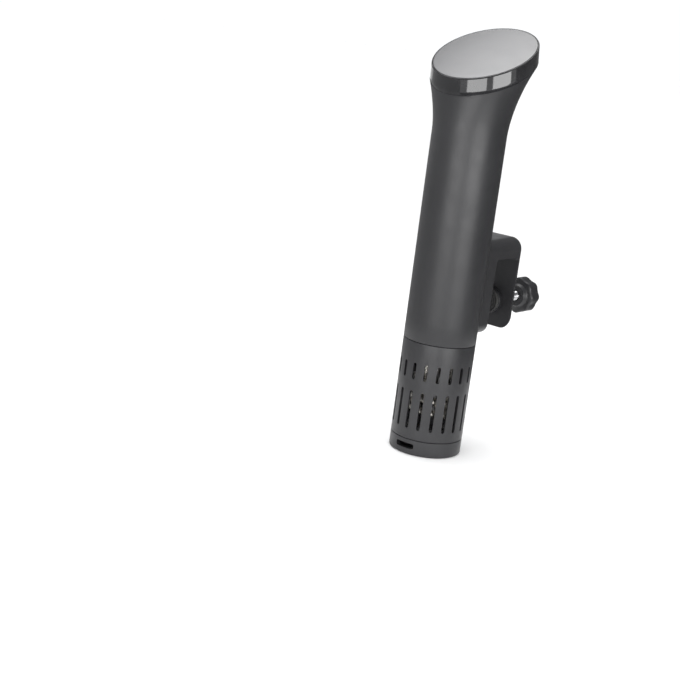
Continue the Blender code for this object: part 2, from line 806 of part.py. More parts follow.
def impeller():
    bore = SHAFT_R + GAP
    low = IMPELLER_Z
    profile = [
        (bore, low + IMPELLER_HEIGHT),
        (IMPELLER_HUB_R, low + IMPELLER_HEIGHT),
        (IMPELLER_HUB_R, low + IMPELLER_FLOOR),
        (IMPELLER_R, low + IMPELLER_FLOOR),
        (IMPELLER_R, low),
        (bore, low),
    ]
    wheel = turned("impeller", profile, "nylon", MEDIUM, ring=True)
    reach = IMPELLER_R - IMPELLER_HUB_R
    for index in range(VANE_COUNT):
        vane = block(
            f"join_vane_{index + 1}",
            (reach + VANE_THICK / 2, VANE_THICK, IMPELLER_HEIGHT - GAP),
        )
        turn = 360 * index / VANE_COUNT
        middle = round_at(IMPELLER_HUB_R + reach / 2 - VANE_THICK / 2, turn)
        vane.location = middle + Vector((0, 0, low + IMPELLER_HEIGHT / 2))
        vane.rotation_euler = (0, 0, math.radians(turn + 8))
        join(wheel, vane)
    return wheel


# ---------------------------------------------------------------- drive


def drive_line():
    """The shaft from the impeller up to the coupling, and the coupling on the motor's own shaft."""
    coupling_low = BULKHEAD_TOP_Z + GAP + SEAL_HEIGHT + SLIDE_GAP * 2
    coupling_high = coupling_low + COUPLING_HEIGHT
    socket = COUPLING_HEIGHT * 0.42
    bore = SHAFT_R + GAP
    profile = [
        (0, coupling_high - socket),
        (bore, coupling_high - socket),
        (bore, coupling_high),
        (COUPLING_R, coupling_high),
        (COUPLING_R, coupling_low),
        (bore, coupling_low),
        (bore, coupling_low + socket),
        (0, coupling_low + socket),
    ]
    turned("shaft_coupling", profile, "brass", SMALL)
    rod("drive_shaft", SHAFT_R, IMPELLER_Z, coupling_low + socket - GAP, "steel", 16, 0.0003)
    rotor_low = MOTOR_Z + MOTOR_CAN_WALL + SLIDE_GAP * 3
    shaft_low = coupling_high - socket + GAP
    shaft_top = rotor_low + ROTOR_HEIGHT + SLIDE_GAP * 3
    profile = [
        (0, shaft_top),
        (SHAFT_R, shaft_top),
        (SHAFT_R, rotor_low + ROTOR_HEIGHT),
        (ROTOR_R, rotor_low + ROTOR_HEIGHT),
        (ROTOR_R, rotor_low),
        (SHAFT_R, rotor_low),
        (SHAFT_R, shaft_low),
        (0, shaft_low),
    ]
    turned("motor_rotor", profile, "steel", MEDIUM)


def shaft_seal():
    low = BULKHEAD_TOP_Z + GAP
    outer = SHAFT_R + GAP + SEAL_WALL
    return collar("shaft_seal", outer, SHAFT_R + GAP, low, low + SEAL_HEIGHT, "silicone", SMALL)


def motor():
    inner = MOTOR_R - MOTOR_CAN_WALL
    top = MOTOR_Z + MOTOR_CAN_HEIGHT
    shaft_hole = SHAFT_R + SLIDE_GAP * 2
    profile = [
        (inner, top),
        (MOTOR_R, top),
        (MOTOR_R, MOTOR_Z),
        (shaft_hole, MOTOR_Z),
        (shaft_hole, MOTOR_Z + MOTOR_CAN_WALL),
        (inner, MOTOR_Z + MOTOR_CAN_WALL),
    ]
    turned("motor_can", profile, "steel", MEDIUM, ring=True)
    step = 0.0012
    cap_top = MOTOR_CAP_Z + MOTOR_CAP_HEIGHT
    profile = [
        (0, cap_top),
        (MOTOR_R - step, cap_top),
        (MOTOR_R, cap_top - step),
        (MOTOR_R, MOTOR_CAP_Z),
        (0, MOTOR_CAP_Z),
    ]
    turned("motor_end_cap", profile, "component", MEDIUM)


def motor_carrier():
    hole = COUPLING_R + SLIDE_GAP * 2
    top = MOTOR_PLATE_Z + MOUNT_THICK
    mount_r = PLUG_R - GAP
    mount = collar("motor_mount", mount_r, hole, MOTOR_PLATE_Z, top, "moulded_black", MEDIUM)
    for side in (-1, 1):
        notch = block(f"cut_wire_notch_{side + 2}", (WIRE_NOTCH, WIRE_NOTCH, MOUNT_THICK * 3))
        notch.location = (side * mount_r, 0, MOTOR_PLATE_Z)
        cut(mount, notch)
    isolator_top = ISOLATOR_Z + ISOLATOR_HEIGHT
    collar("motor_isolator", MOTOR_R, hole + GAP, ISOLATOR_Z, isolator_top, "rubber", MEDIUM)
    low = BULKHEAD_TOP_Z + GAP
    for index in range(STANDOFF_COUNT):
        spot = round_at(STANDOFF_CIRCLE_R, STANDOFF_START + 360 * index / STANDOFF_COUNT)
        name = f"motor_standoff_{index + 1}"
        rod(name, STANDOFF_R, low, low + STANDOFF_HEIGHT, "brass", 6, location=(spot.x, spot.y, 0))


# ---------------------------------------------------------------- electronics


def inner_frame():
    """A ring that seats in the bore, with an upright back plate and two rails for the power board."""
    outer = PLUG_R - GAP
    frame = collar("inner_frame", outer, outer - BAND_WALL, FRAME_Z, FRAME_Z + FRAME_RING_HEIGHT, "nylon")
    plate_y = FRAME_SETBACK
    half = chord_half(outer, plate_y + FRAME_PLATE_THICK) - GAP
    height = FRAME_RING_HEIGHT + GAP + POWER_BOARD_LENGTH
    back = block("join_frame_back", (2 * half, FRAME_PLATE_THICK, height))
    back.location = (0, plate_y + FRAME_PLATE_THICK / 2, FRAME_Z + height / 2)
    join(frame, back)
    for side in (-1, 1):
        rail = block(f"join_frame_rail_{side + 2}", (FRAME_PLATE_THICK, FRAME_RAIL_DEPTH, height))
        rail_x = side * (half - FRAME_PLATE_THICK / 2)
        rail.location = (rail_x, plate_y + FRAME_PLATE_THICK - FRAME_RAIL_DEPTH / 2, FRAME_Z + height / 2)
        join(frame, rail)
    return frame


def board_half_width():
    outer = PLUG_R - GAP
    half = chord_half(outer, FRAME_SETBACK + FRAME_PLATE_THICK) - GAP
    return half - FRAME_PLATE_THICK - GAP


def board_front_y():
    return POWER_BOARD_SETBACK - BOARD_THICK / 2


def power_board():
    """The mains board in the rails, with its components on the front."""
    width = 2 * board_half_width()
    front_y = board_front_y()
    middle_z = BOARD_Z + POWER_BOARD_LENGTH / 2
    block("power_board", (width, BOARD_THICK, POWER_BOARD_LENGTH), "board_green").location = (
        0,
        POWER_BOARD_SETBACK,
        middle_z,
    )

    def on_board(name, size, across, up, finish, edge=0.0006):
        made = block(name, size, finish, edge)
        made.location = (across, front_y - GAP - size[1] / 2, BOARD_Z + up)
        return made

    quarter = width / 4
    on_board("transformer", (width * 0.44, 0.0150, 0.0180), -quarter, 0.0450, "component_yellow", 0.0012)
    on_board("relay", (width * 0.40, 0.0130, 0.0150), quarter, 0.0180, "component")
    block_size = (width * 0.44, 0.0090, TERMINAL_BLOCK_HEIGHT)
    on_board("terminal_block", block_size, -quarter, TERMINAL_BLOCK_RISE, "nylon")
    on_board("wireless_module", (width * 0.42, 0.0030, 0.0180), quarter, 0.0620, "aluminium", 0.0003)
    on_board("triac", (0.0100, 0.0044, 0.0120), -quarter, 0.0240, "component", 0.0004)
    fin_y = front_y - GAP - 0.0044 - GAP
    sink = block("triac_heatsink", (width * 0.40, 0.0020, 0.0160), "aluminium")
    sink.location = (-quarter, fin_y - 0.0010, BOARD_Z + 0.0240)
    for index in (-1, 0, 1):
        fin = block(f"join_fin_{index + 2}", (0.0012, 0.0060, 0.0160))
        fin.location = (-quarter + index * width * 0.15, fin_y - 0.0045, BOARD_Z + 0.0240)
        join(sink, fin)
    rod(
        "filter_capacitor",
        0.0050,
        0.0,
        0.0150,
        "component",
        SMALL,
        chamfer=0.0006,
        location=(quarter, front_y - GAP, BOARD_Z + 0.0400),
        rotation=FORWARD,
    )


def ribbon_cable():
    """A flat cable in a lazy bow from the power board's top edge to the display board's underside."""
    half = 0.0060
    thick = 0.0008
    low = Vector((0, POWER_BOARD_SETBACK, BOARD_Z + POWER_BOARD_LENGTH + GAP))
    board_under = PANEL_THICK + GAP + DISPLAY_THICK + GAP + BOARD_THICK + GAP
    high = slanted(0.0, board_under, 0.0)
    high = high + Vector((0, 0.006, 0.006 * math.tan(HEAD_TILT)))
    steps = 10
    rings = []
    for step in range(steps + 1):
        share = step / steps
        sway = 0.006 * math.sin(math.pi * share)
        middle = low.lerp(high, share) + Vector((0, sway, 0))
        rise = Vector((0, math.pi * 0.006 * math.cos(math.pi * share), 0)) + (high - low)
        normal = Vector((0, -rise.z, rise.y)).normalized() * (thick / 2)
        if step == steps:
            normal = Vector((0, -math.cos(HEAD_TILT), -math.sin(HEAD_TILT))) * (thick / 2)
        across = Vector((half, 0, 0))
        rings.append([middle - across - normal, middle + across - normal,
                      middle + across + normal, middle - across + normal])
    return skinned("ribbon_cable", rings, "component")


def heater_wires():
    """Two leads up past the motor, from the heater's terminals to the terminal block."""
    terminal_top = BULKHEAD_TOP_Z + HEATER_STUB + GAP + TERMINAL_HEIGHT
    block_under = BOARD_Z + TERMINAL_BLOCK_RISE - TERMINAL_BLOCK_HEIGHT / 2
    notch_x = PLUG_R - WIRE_NOTCH / 3
    inside_x = PLUG_R - GAP - BAND_WALL - WIRE_R * 3
    past_motor = MOTOR_CAP_Z + MOTOR_CAP_HEIGHT
    block_y = board_front_y() - GAP - WIRE_R * 4
    ends = board_half_width() / 2
    for index, spot in enumerate((heater_out(), heater_back())):
        side = 1 if spot.x > 0 else -1
        lead = WIRE_R * 2
        points = [
            (spot.x, 0, terminal_top + GAP),
            (spot.x, 0, terminal_top + GAP + lead / 2),
            (side * notch_x, 0, MOTOR_PLATE_Z - GAP),
            (side * notch_x, 0, MOTOR_PLATE_Z + MOUNT_THICK),
            (side * notch_x, -lead, MOTOR_CAP_Z),
            (side * inside_x, -lead * 2, past_motor),
            (-ends + side * lead * 2, block_y - lead, block_under - lead * 2),
            (-ends + side * lead, block_y, block_under - lead),
            (-ends + side * lead, block_y, block_under - GAP),
        ]
        wire(f"heater_wire_{index + 1}", points, WIRE_R, "silicone", 1)


# ---------------------------------------------------------------- clamp and inlet


def bracket_screw_heights():
    """The upper screw's head lies just under the inner frame's ring."""
    return (CLAMP_BOTTOM_Z + BRACKET_SCREW_INSET, FRAME_Z - BRACKET_SCREW_HEAD_R - BRACKET_SCREW_CLEAR)


def clamp_ring(across, inset):
    """The bracket's side view at one place across its width, drawn in all round by inset."""
    reach = CLAMP_CORNER_R
    start = BODY_R / 3
    outline = [(start, CLAMP_BOTTOM_Z + inset)]
    outline += corner((LEG_BACK_Y - reach, CLAMP_BOTTOM_Z + reach), reach - inset, -90)
    outline += corner((LEG_BACK_Y - reach, CLAMP_TOP_Z - reach), reach - inset, 0)
    outline.append((start, CLAMP_TOP_Z - CLAMP_TOP_FALL - inset))
    return [Vector((across, along, up)) for along, up in outline]


def clamp_bracket():
    """A staple over the vessel's wall: jaw against the body, arm across, and leg outside the wall."""
    turns = [math.pi / 2 * step / 4 for step in range(5)]
    half = [(CLAMP_EDGE_R * math.sin(turn), CLAMP_EDGE_R * (1 - math.cos(turn))) for turn in turns]
    flat = CLAMP_HALF_WIDTH - CLAMP_EDGE_R
    rings = [clamp_ring(-flat - out, inset) for out, inset in half[::-1]]
    rings += [clamp_ring(flat + out, inset) for out, inset in half]
    bracket = skinned("clamp_bracket", rings, "satin_black")
    height = CLAMP_TOP_Z - CLAMP_BOTTOM_Z
    opening = block(
        "cut_clamp_opening",
        (4 * CLAMP_HALF_WIDTH, CLAMP_OPENING, 2 * (height - ARM_THICK)),
        edge=0.003,
        location=(0, (JAW_FACE_Y + LEG_FACE_Y) / 2, CLAMP_BOTTOM_Z),
    )
    cut(bracket, opening)
    seat = rod("cut_clamp_seat", BODY_R + GAP, 0, TOTAL_HEIGHT, segments=FINE)
    cut(bracket, seat)
    boss = rod("join_leg_boss", LEG_BOSS_R, LEG_THICK / 2, LEG_THICK + LEG_BOSS_RISE, segments=MEDIUM)
    boss.location = (0, LEG_FACE_Y, SCREW_Z)
    boss.rotation_euler = BACKWARD
    join(bracket, boss)
    hole_r = SCREW_R + GAP + INSERT_WALL + GAP
    insert_hole = rod("cut_insert", hole_r, -LEG_THICK, LEG_THICK * 2 + LEG_BOSS_RISE, segments=MEDIUM)
    insert_hole.location = (0, LEG_FACE_Y, SCREW_Z)
    insert_hole.rotation_euler = BACKWARD
    cut(bracket, insert_hole)
    for index, z in enumerate(bracket_screw_heights()):
        hole = rod(f"cut_bracket_bite_{index + 1}", BRACKET_SCREW_R + GAP, -BODY_WALL, BRACKET_SCREW_BITE + GAP)
        hole.location = (0, BODY_R + GAP, z)
        hole.rotation_euler = BACKWARD
        cut(bracket, hole)
    return bracket


def bracket_screws():
    """Screws from inside the dry body, through its wall and into the jaw."""
    seat = chord_half(HOUSING_BORE_R, BRACKET_SCREW_HEAD_R) - GAP
    run = BODY_R + GAP + BRACKET_SCREW_BITE - seat
    profile = [
        (0, run),
        (BRACKET_SCREW_R, run),
        (BRACKET_SCREW_R, 0),
        (BRACKET_SCREW_HEAD_R, 0),
        (BRACKET_SCREW_HEAD_R, -BRACKET_SCREW_HEAD),
        (0, -BRACKET_SCREW_HEAD),
    ]
    for index, z in enumerate(bracket_screw_heights()):
        turned(f"bracket_screw_{index + 1}", profile, "steel", SMALL, location=(0, seat, z), rotation=BACKWARD)


def jaw_pad():
    low = CLAMP_BOTTOM_Z + 0.004
    high = CLAMP_TOP_Z - ARM_THICK - 0.004
    pad = block(
        "jaw_pad",
        (2 * JAW_PAD_HALF_WIDTH, JAW_PAD_THICK, high - low),
        "rubber",
        0.0004,
        location=(0, JAW_FACE_Y + GAP + JAW_PAD_THICK / 2, (low + high) / 2),
    )
    return pad


def clamp_screw_parts():
    """The threaded insert in the leg, the screw with its knob, and the swivelling pressure pad."""
    insert_bore = SCREW_R + GAP
    collar(
        "thread_insert",
        insert_bore + INSERT_WALL,
        insert_bore,
        GAP,
        LEG_THICK + LEG_BOSS_RISE - GAP,
        "brass",
        MEDIUM,
        location=(0, LEG_FACE_Y, SCREW_Z),
        rotation=BACKWARD,
    )
    axis = empty("clamp_screw_axis", (0, 0, SCREW_Z), BACKWARD)
    knob_bottom = KNOB_FRONT_Y + KNOB_BORE_DEPTH
    socket_floor = PAD_BACK_Y - SOCKET_DEPTH
    low = socket_floor + GAP
    rod("clamp_screw", SCREW_R, low, knob_bottom - GAP, "steel", SMALL, 0.0006, parent=axis)
    lobed_knob(axis, knob_bottom)
    profile = [
        (SCREW_R + GAP, PAD_BACK_Y),
        (PRESSURE_PAD_R - 0.0006, PAD_BACK_Y),
        (PRESSURE_PAD_R, PAD_BACK_Y - 0.0006),
        (PRESSURE_PAD_R, PAD_FRONT_Y),
        (0, PAD_FRONT_Y),
        (0, socket_floor),
        (SCREW_R + GAP, socket_floor),
    ]
    turned("pressure_pad", profile, "moulded_black", MEDIUM, ring=True, parent=axis)
    face_r = PRESSURE_PAD_R - 0.0005
    rod("pressure_pad_face", face_r, FACE_FRONT_Y, PAD_FRONT_Y - GAP, "rubber", MEDIUM, 0.0004, parent=axis)


def lobed_ring(radius, height, depth):
    ring = []
    for i in range(FINE):
        degrees = 360 * i / FINE
        wave = depth * (1 - math.cos(math.radians(degrees * KNOB_LOBES))) / 2
        ring.append(round_at(radius - wave, degrees, height))
    return ring


def lobed_knob(axis, bore_bottom):
    """A scalloped hand knob with a blind bore for the screw's end."""
    front = KNOB_FRONT_Y
    back = front + KNOB_DEPTH
    bore = SCREW_R + GAP
    edge = 0.0015
    neck = KNOB_R * 0.6
    rings = [
        lobed_ring(bore, bore_bottom, 0),
        lobed_ring(bore, front, 0),
        lobed_ring(neck, front, 0),
        lobed_ring(neck + edge, front + 2 * edge, 0),
        lobed_ring(KNOB_R - edge, front + 2 * edge, KNOB_LOBE_DEPTH),
        lobed_ring(KNOB_R, front + 3 * edge, KNOB_LOBE_DEPTH),
        lobed_ring(KNOB_R, back - edge, KNOB_LOBE_DEPTH),
        lobed_ring(KNOB_R - edge, back, KNOB_LOBE_DEPTH),
    ]
    return skinned("clamp_knob", rings, "moulded_black", parent=axis)


def cord_inlet():
    """The sealed inlet for the cord, at the back under the head, and its nut inside the wall."""
    seat = BODY_R + GAP
    nut_hole_r = (GLAND_SHANK_R + GAP) / math.cos(math.pi / 6)
    nut_r = nut_hole_r + GLAND_NUT_WALL
    inner = chord_half(HOUSING_BORE_R, nut_r) - GAP
    shank_low = inner - GLAND_NUT_THICK - GAP
    profile = [
        (GLAND_BORE_R, seat + GLAND_LENGTH),
        (GLAND_R * 0.86, seat + GLAND_LENGTH),
        (GLAND_R, seat + GLAND_LENGTH * 0.5),
        (GLAND_R, seat),
        (GLAND_SHANK_R, seat),
        (GLAND_SHANK_R, shank_low),
        (GLAND_BORE_R, shank_low),
    ]
    axis = empty("cord_inlet_axis", (0, 0, GLAND_Z), BACKWARD)
    turned("cord_gland", profile, "rubber", MEDIUM, ring=True, parent=axis)
    low = inner - GLAND_NUT_THICK
    collar("gland_nut", nut_r, nut_hole_r, low, inner, "nylon", 6, parent=axis)


# ---------------------------------------------------------------- assembly

BACKWARD = (math.radians(-90), 0, 0)
FORWARD = (math.radians(90), 0, 0)

clear_scene()
PARTS = new_collection("sous_vide_circulator")
CUTTERS = new_collection("cutters", hidden=True)

head_frame = empty("head_frame", (0, HEAD_SETBACK, HEAD_Z), (HEAD_TILT, 0, 0))
body_housing()
head_band(head_frame)
display_panel(head_frame)
panel_gasket(head_frame)
display_stack(head_frame)
skirt()
foot_cap()
bulkhead()
bulkhead_o_ring()
heater_coil()
heater_terminals()
probes()
pump_plate()
shaft_tube()
lower_bush()
impeller()
drive_line()
shaft_seal()
motor()
motor_carrier()
inner_frame()
power_board()
ribbon_cable()
heater_wires()
clamp_bracket()
bracket_screws()
jaw_pad()
clamp_screw_parts()
cord_inlet()
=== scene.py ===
"""Immersion circulator: the finished look of every piece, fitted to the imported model.

Metres throughout. +Z runs up the body, the slanted head faces -Y and the vessel clamp is on +Y.
"""

import functools
import math

import bmesh
import bpy
from bpy.props import FloatProperty, FloatVectorProperty, IntProperty, PointerProperty
from mathutils import Euler, Matrix, Vector


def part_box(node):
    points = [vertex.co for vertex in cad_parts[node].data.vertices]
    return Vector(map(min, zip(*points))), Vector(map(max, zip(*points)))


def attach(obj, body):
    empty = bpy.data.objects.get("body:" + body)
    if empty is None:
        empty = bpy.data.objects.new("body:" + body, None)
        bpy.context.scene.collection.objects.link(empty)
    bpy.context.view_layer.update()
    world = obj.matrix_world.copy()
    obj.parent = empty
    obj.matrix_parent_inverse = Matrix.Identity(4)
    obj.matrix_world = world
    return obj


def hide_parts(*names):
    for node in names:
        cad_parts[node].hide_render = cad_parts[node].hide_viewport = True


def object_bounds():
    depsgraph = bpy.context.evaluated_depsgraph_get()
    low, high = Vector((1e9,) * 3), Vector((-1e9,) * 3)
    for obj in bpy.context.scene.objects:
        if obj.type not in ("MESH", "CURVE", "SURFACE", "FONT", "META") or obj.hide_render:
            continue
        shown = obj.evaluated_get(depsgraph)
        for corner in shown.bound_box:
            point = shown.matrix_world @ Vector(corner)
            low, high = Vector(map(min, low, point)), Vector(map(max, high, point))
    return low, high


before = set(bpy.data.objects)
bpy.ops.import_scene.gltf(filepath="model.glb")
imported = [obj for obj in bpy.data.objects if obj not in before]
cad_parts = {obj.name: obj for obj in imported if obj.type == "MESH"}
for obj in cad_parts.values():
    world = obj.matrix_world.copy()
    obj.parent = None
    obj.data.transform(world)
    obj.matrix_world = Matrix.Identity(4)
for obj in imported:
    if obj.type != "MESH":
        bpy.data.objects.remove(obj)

bl_info = {
    "name": "Immersion Circulator",
    "version": (1, 0, 0),
    "blender": (4, 5, 0),
    "location": "3D View > Sidebar > Circulator",
    "description": "Builds the casings, clamp, wet end and studio for an immersion circulator",
    "category": "Object",
}

MAIN = "main_body"
DRIVE = "drive_line"
PAD = "clamp_pad"
SCREW = "clamp_screw_and_knob"
SKIRT = "skirt_and_foot"

CAD_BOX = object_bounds()


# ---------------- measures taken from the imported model


@functools.lru_cache(maxsize=None)
def box(node):
    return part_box(node)


def low(node):
    return box(node)[0]


def high(node):
    return box(node)[1]


def width(node):
    return high(node).x - low(node).x


def middle(node):
    return (low(node) + high(node)) / 2


GAP = 0.0003  # left between neighbours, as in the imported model
NEAR_AXIS = 0.00001  # radius of the ring that closes a turned end
BODY_R = width("skirt") / 2
BODY_LOW = low("body_housing").z
PANEL_R = width("display_panel") / 2
TILT = math.radians(30)


# ---------------- sizes and colours a maker would change


def distance(name, description, default):
    length = {"subtype": "DISTANCE", "unit": "LENGTH"}
    return FloatProperty(name=name, description=description, default=default, **length)


def count(name, description, default, least, most):
    return IntProperty(name=name, description=description, default=default, min=least, max=most)


def strength(name, description, default):
    return FloatProperty(name=name, description=description, default=default, min=0.0)


def colour(name, description, default):
    return FloatVectorProperty(name=name, description=description, default=default, subtype="COLOR", size=3)


class CasingSettings(bpy.types.PropertyGroup):
    wall: distance("Casing wall", "Thickness of the body's moulded wall", 0.0024)
    flare_height: distance("Flare height", "How far below the head's centre the body starts to widen", 0.059)
    flare_power: FloatProperty(
        name="Flare curve",
        description="How late the body widens: 1 is a plain cone",
        default=1.7,
        min=1.0,
        max=4.0,
    )
    setback: distance("Head setback", "How far the head's centre sits behind the body's axis", 0.0052)
    colour: colour("Casing colour", "Base colour of the satin casing", (0.0215, 0.0215, 0.0232))
    grain: distance("Casing grain", "Depth of the fine moulded texture", 0.00002)


class HeadSettings(bpy.types.PropertyGroup):
    rim_width: distance("Rim width", "Width of the narrow black line round the panel", 0.0012)
    rim_drop: distance("Rim drop", "How far the rim's bevel falls from the panel to the band's side", 0.0009)
    band_depth: distance("Band depth", "Depth of the gloss band, square to the panel", 0.0108)
    band_lean: distance(
        "Band lean", "How far the band's lower edge runs forward of its upper edge, along the slant", 0.0045
    )
    band_wall: distance("Band wall", "Thickness of the gloss band", 0.0026)
    band_colour: colour("Band colour", "Base colour of the gloss band", (0.012, 0.012, 0.013))
    panel_colour: colour("Panel colour", "Base colour of the satin control panel", (0.062, 0.062, 0.066))


class WetEndSettings(bpy.types.PropertyGroup):
    slot_count: count("Skirt slots", "Number of slots round each row of the skirt", 18, 6, 30)
    slot_width: distance("Slot width", "Width of each slot in the skirt", 0.0028)
    colour: colour("Skirt colour", "Base colour of the moulded skirt and foot", (0.014, 0.014, 0.0155))
    vane_count: count("Impeller vanes", "Number of curved vanes on the impeller", 6, 3, 10)


class ClampSettings(bpy.types.PropertyGroup):
    corner: distance("Corner radius", "Radius of the staple's outer corners, seen from the side", 0.0103)
    edge: distance("Edge rounding", "Rounding across the staple's outer edges", 0.0085)
    fall: distance("Arm fall", "How far the arm's top falls from the outer corner to the body", 0.0022)
    pitch: distance("Thread pitch", "Advance of the clamp screw for one turn", 0.002)
    lobes: count("Knob lobes", "Number of lobes round the hand knob", 8, 4, 16)


class StudioSettings(bpy.types.PropertyGroup):
    floor_colour: colour("Floor colour", "Colour of the pale floor", (0.88, 0.88, 0.88))
    room_light: strength("Room light", "Strength of the even light from all round", 0.28)
    backdrop_light: strength("Backdrop light", "Strength of the pale backdrop behind the piece", 1.05)


SETTINGS = {
    "circ_casing": CasingSettings,
    "circ_head": HeadSettings,
    "circ_wet_end": WetEndSettings,
    "circ_clamp": ClampSettings,
    "circ_studio": StudioSettings,
}


# ---------------- finishes


def map_range(nodes, start, end, least=0.0, most=1.0):
    made = nodes.new("ShaderNodeMapRange")
    for socket, value in zip(("From Min", "From Max", "To Min", "To Max"), (start, end, least, most)):
        made.inputs[socket].default_value = value
    return made


def shade(colour, share):
    return tuple(channel * share for channel in colour)


class Finish:
    """A material built up from its shader, with nodes placed left to right."""

    def __init__(self, name, colour, roughness, metallic=0.0, **sockets):
        self.material = bpy.data.materials.new(name)
        self.material.use_nodes = True
        self.tree = self.material.node_tree
        self.shader = self.tree.nodes["Principled BSDF"]
        self.colour = colour
        self.roughness = roughness
        self.shader.inputs["Base Color"].default_value = (*colour, 1.0)
        self.shader.inputs["Roughness"].default_value = roughness
        self.shader.inputs["Metallic"].default_value = metallic
        for socket, value in sockets.items():
            self.shader.inputs[socket.replace("_", " ")].default_value = value
        self.coordinates = self.node("ShaderNodeTexCoord", -1200, 0)
        self.bump = None

    def node(self, kind, x, y, **values):
        made = self.tree.nodes.new(kind)
        made.location = (x, y)
        for socket, value in values.items():
            made.inputs[socket.replace("_", " ")].default_value = value
        return made

    def link(self, source, target):
        self.tree.links.new(source, target)

    def noise(self, size, y, detail, stretch):
        """A noise whose blobs are about size metres across, drawn out where stretch is small."""
        mapping = self.node("ShaderNodeMapping", -1000, y, Scale=stretch)
        self.link(self.coordinates.outputs["Object"], mapping.inputs["Vector"])
        made = self.node("ShaderNodeTexNoise", -800, y, Scale=1.0 / size, Detail=detail)
        self.link(mapping.outputs["Vector"], made.inputs["Vector"])
        return made.outputs["Fac"]

    def drift(self, source, y, start, least, most):
        """A noise brought to run from least to most."""
        ramp = map_range(self.tree.nodes, start, 0.7, least, most)
        ramp.location = (-550, y)
        self.link(source, ramp.inputs["Value"])
        return ramp.outputs["Result"]

    def mottled(self, size, other, stretch=(1, 1, 1)):
        """The base colour drifts towards the other colour in soft blotches."""
        mix = self.node("ShaderNodeMix", -300, 200)
        mix.data_type = "RGBA"
        mix.inputs[6].default_value = (*self.colour, 1.0)
        mix.inputs[7].default_value = (*other, 1.0)
        drift = self.drift(self.noise(size, 200, 3.0, stretch), 200, 0.35, 0.0, 1.0)
        self.link(drift, mix.inputs["Factor"])
        self.link(mix.outputs[2], self.shader.inputs["Base Color"])
        return self

    def uneven_gloss(self, size, spread, stretch=(1, 1, 1)):
        """Roughness wanders either side of its mean."""
        least, most = max(0.02, self.roughness - spread), min(1.0, self.roughness + spread)
        drift = self.drift(self.noise(size, -100, 4.0, stretch), -100, 0.3, least, most)
        self.link(drift, self.shader.inputs["Roughness"])
        return self

    def raised(self, height, depth, y):
        """Relief on the surface. Each call lies on top of the one before."""
        bump = self.node("ShaderNodeBump", -300, y, Strength=1.0, Distance=depth)
        self.link(height, bump.inputs["Height"])
        if self.bump:
            self.link(self.bump.outputs["Normal"], bump.inputs["Normal"])
        self.bump = bump
        self.link(bump.outputs["Normal"], self.shader.inputs["Normal"])
        return self

    def grained(self, size, depth, y=-400, stretch=(1, 1, 1)):
        """A fine raised grain."""
        return self.raised(self.noise(size, y, 2.0, stretch), depth, y)

    def ruled(self, spacing, depth, axis, y=-700):
        """Even lines or turns, square to an axis."""
        wave = self.node("ShaderNodeTexWave", -800, y, Scale=2 * math.pi / spacing / 20)
        wave.bands_direction = axis
        self.link(self.coordinates.outputs["Object"], wave.inputs["Vector"])
        return self.raised(wave.outputs["Fac"], depth, y)

    def speckled(self, size, depth, y=-1000):
        """Small cells, as on a spark-worn mould or an unglazed body."""
        cells = self.node("ShaderNodeTexVoronoi", -800, y, Scale=1.0 / size)
        self.link(self.coordinates.outputs["Object"], cells.inputs["Vector"])
        return self.raised(cells.outputs["Distance"], depth, y)


def satin_casing():
    casing = bpy.context.scene.circ_casing
    made = Finish("satin_casing", casing.colour, 0.42, Specular_IOR_Level=0.42)
    made.mottled(0.03, shade(casing.colour, 0.86)).uneven_gloss(0.012, 0.035)
    return made.grained(0.00035, casing.grain).speckled(0.0005, casing.grain / 2)


def gloss_band():
    colour = bpy.context.scene.circ_head.band_colour
    made = Finish("gloss_band", colour, 0.07, Coat_Weight=0.15, Coat_Roughness=0.03)
    made.mottled(0.02, shade(colour, 1.5)).uneven_gloss(0.006, 0.025)
    return made.grained(0.0015, 0.0000012)


def satin_panel():
    colour = bpy.context.scene.circ_head.panel_colour
    made = Finish("satin_panel", colour, 0.24, Specular_IOR_Level=0.75)
    made.mottled(0.018, shade(colour, 0.93)).uneven_gloss(0.008, 0.02)
    return made.grained(0.0004, 0.000004)


def moulded_skirt():
    colour = bpy.context.scene.circ_wet_end.colour
    made = Finish("moulded_skirt", colour, 0.40)
    made.mottled(0.02, shade(colour, 1.35)).uneven_gloss(0.006, 0.05)
    return made.grained(0.0004, 0.00002)


def soft_rubber():
    made = Finish("soft_rubber", (0.020, 0.020, 0.021), 0.82)
    made.mottled(0.004, (0.032, 0.031, 0.030)).uneven_gloss(0.003, 0.06)
    return made.speckled(0.0004, 0.00003)


def red_silicone():
    made = Finish("red_silicone", (0.36, 0.075, 0.045), 0.55, Subsurface_Weight=0.1)
    made.mottled(0.004, (0.27, 0.05, 0.035)).uneven_gloss(0.002, 0.05)
    return made.grained(0.0005, 0.00001)


def drawn_steel(name="drawn_steel", colour=(0.60, 0.60, 0.61), grain=(1, 1, 0.03)):
    made = Finish(name, colour, 0.27, 1.0)
    made.mottled(0.012, shade(colour, 0.86), grain).uneven_gloss(0.0007, 0.07, grain)
    return made.grained(0.0003, 0.000006, stretch=grain)


def heated_steel():
    """Bright sheath with a faint straw bloom from use."""
    made = drawn_steel("heated_steel", (0.60, 0.575, 0.53), (1, 1, 1))
    return made.grained(0.002, 0.00001, y=-900)


def turned_brass():
    made = Finish("turned_brass", (0.72, 0.53, 0.24), 0.26, 1.0)
    made.mottled(0.004, (0.60, 0.42, 0.18)).uneven_gloss(0.001, 0.06)
    return made.ruled(0.00025, 0.000006, "Y")


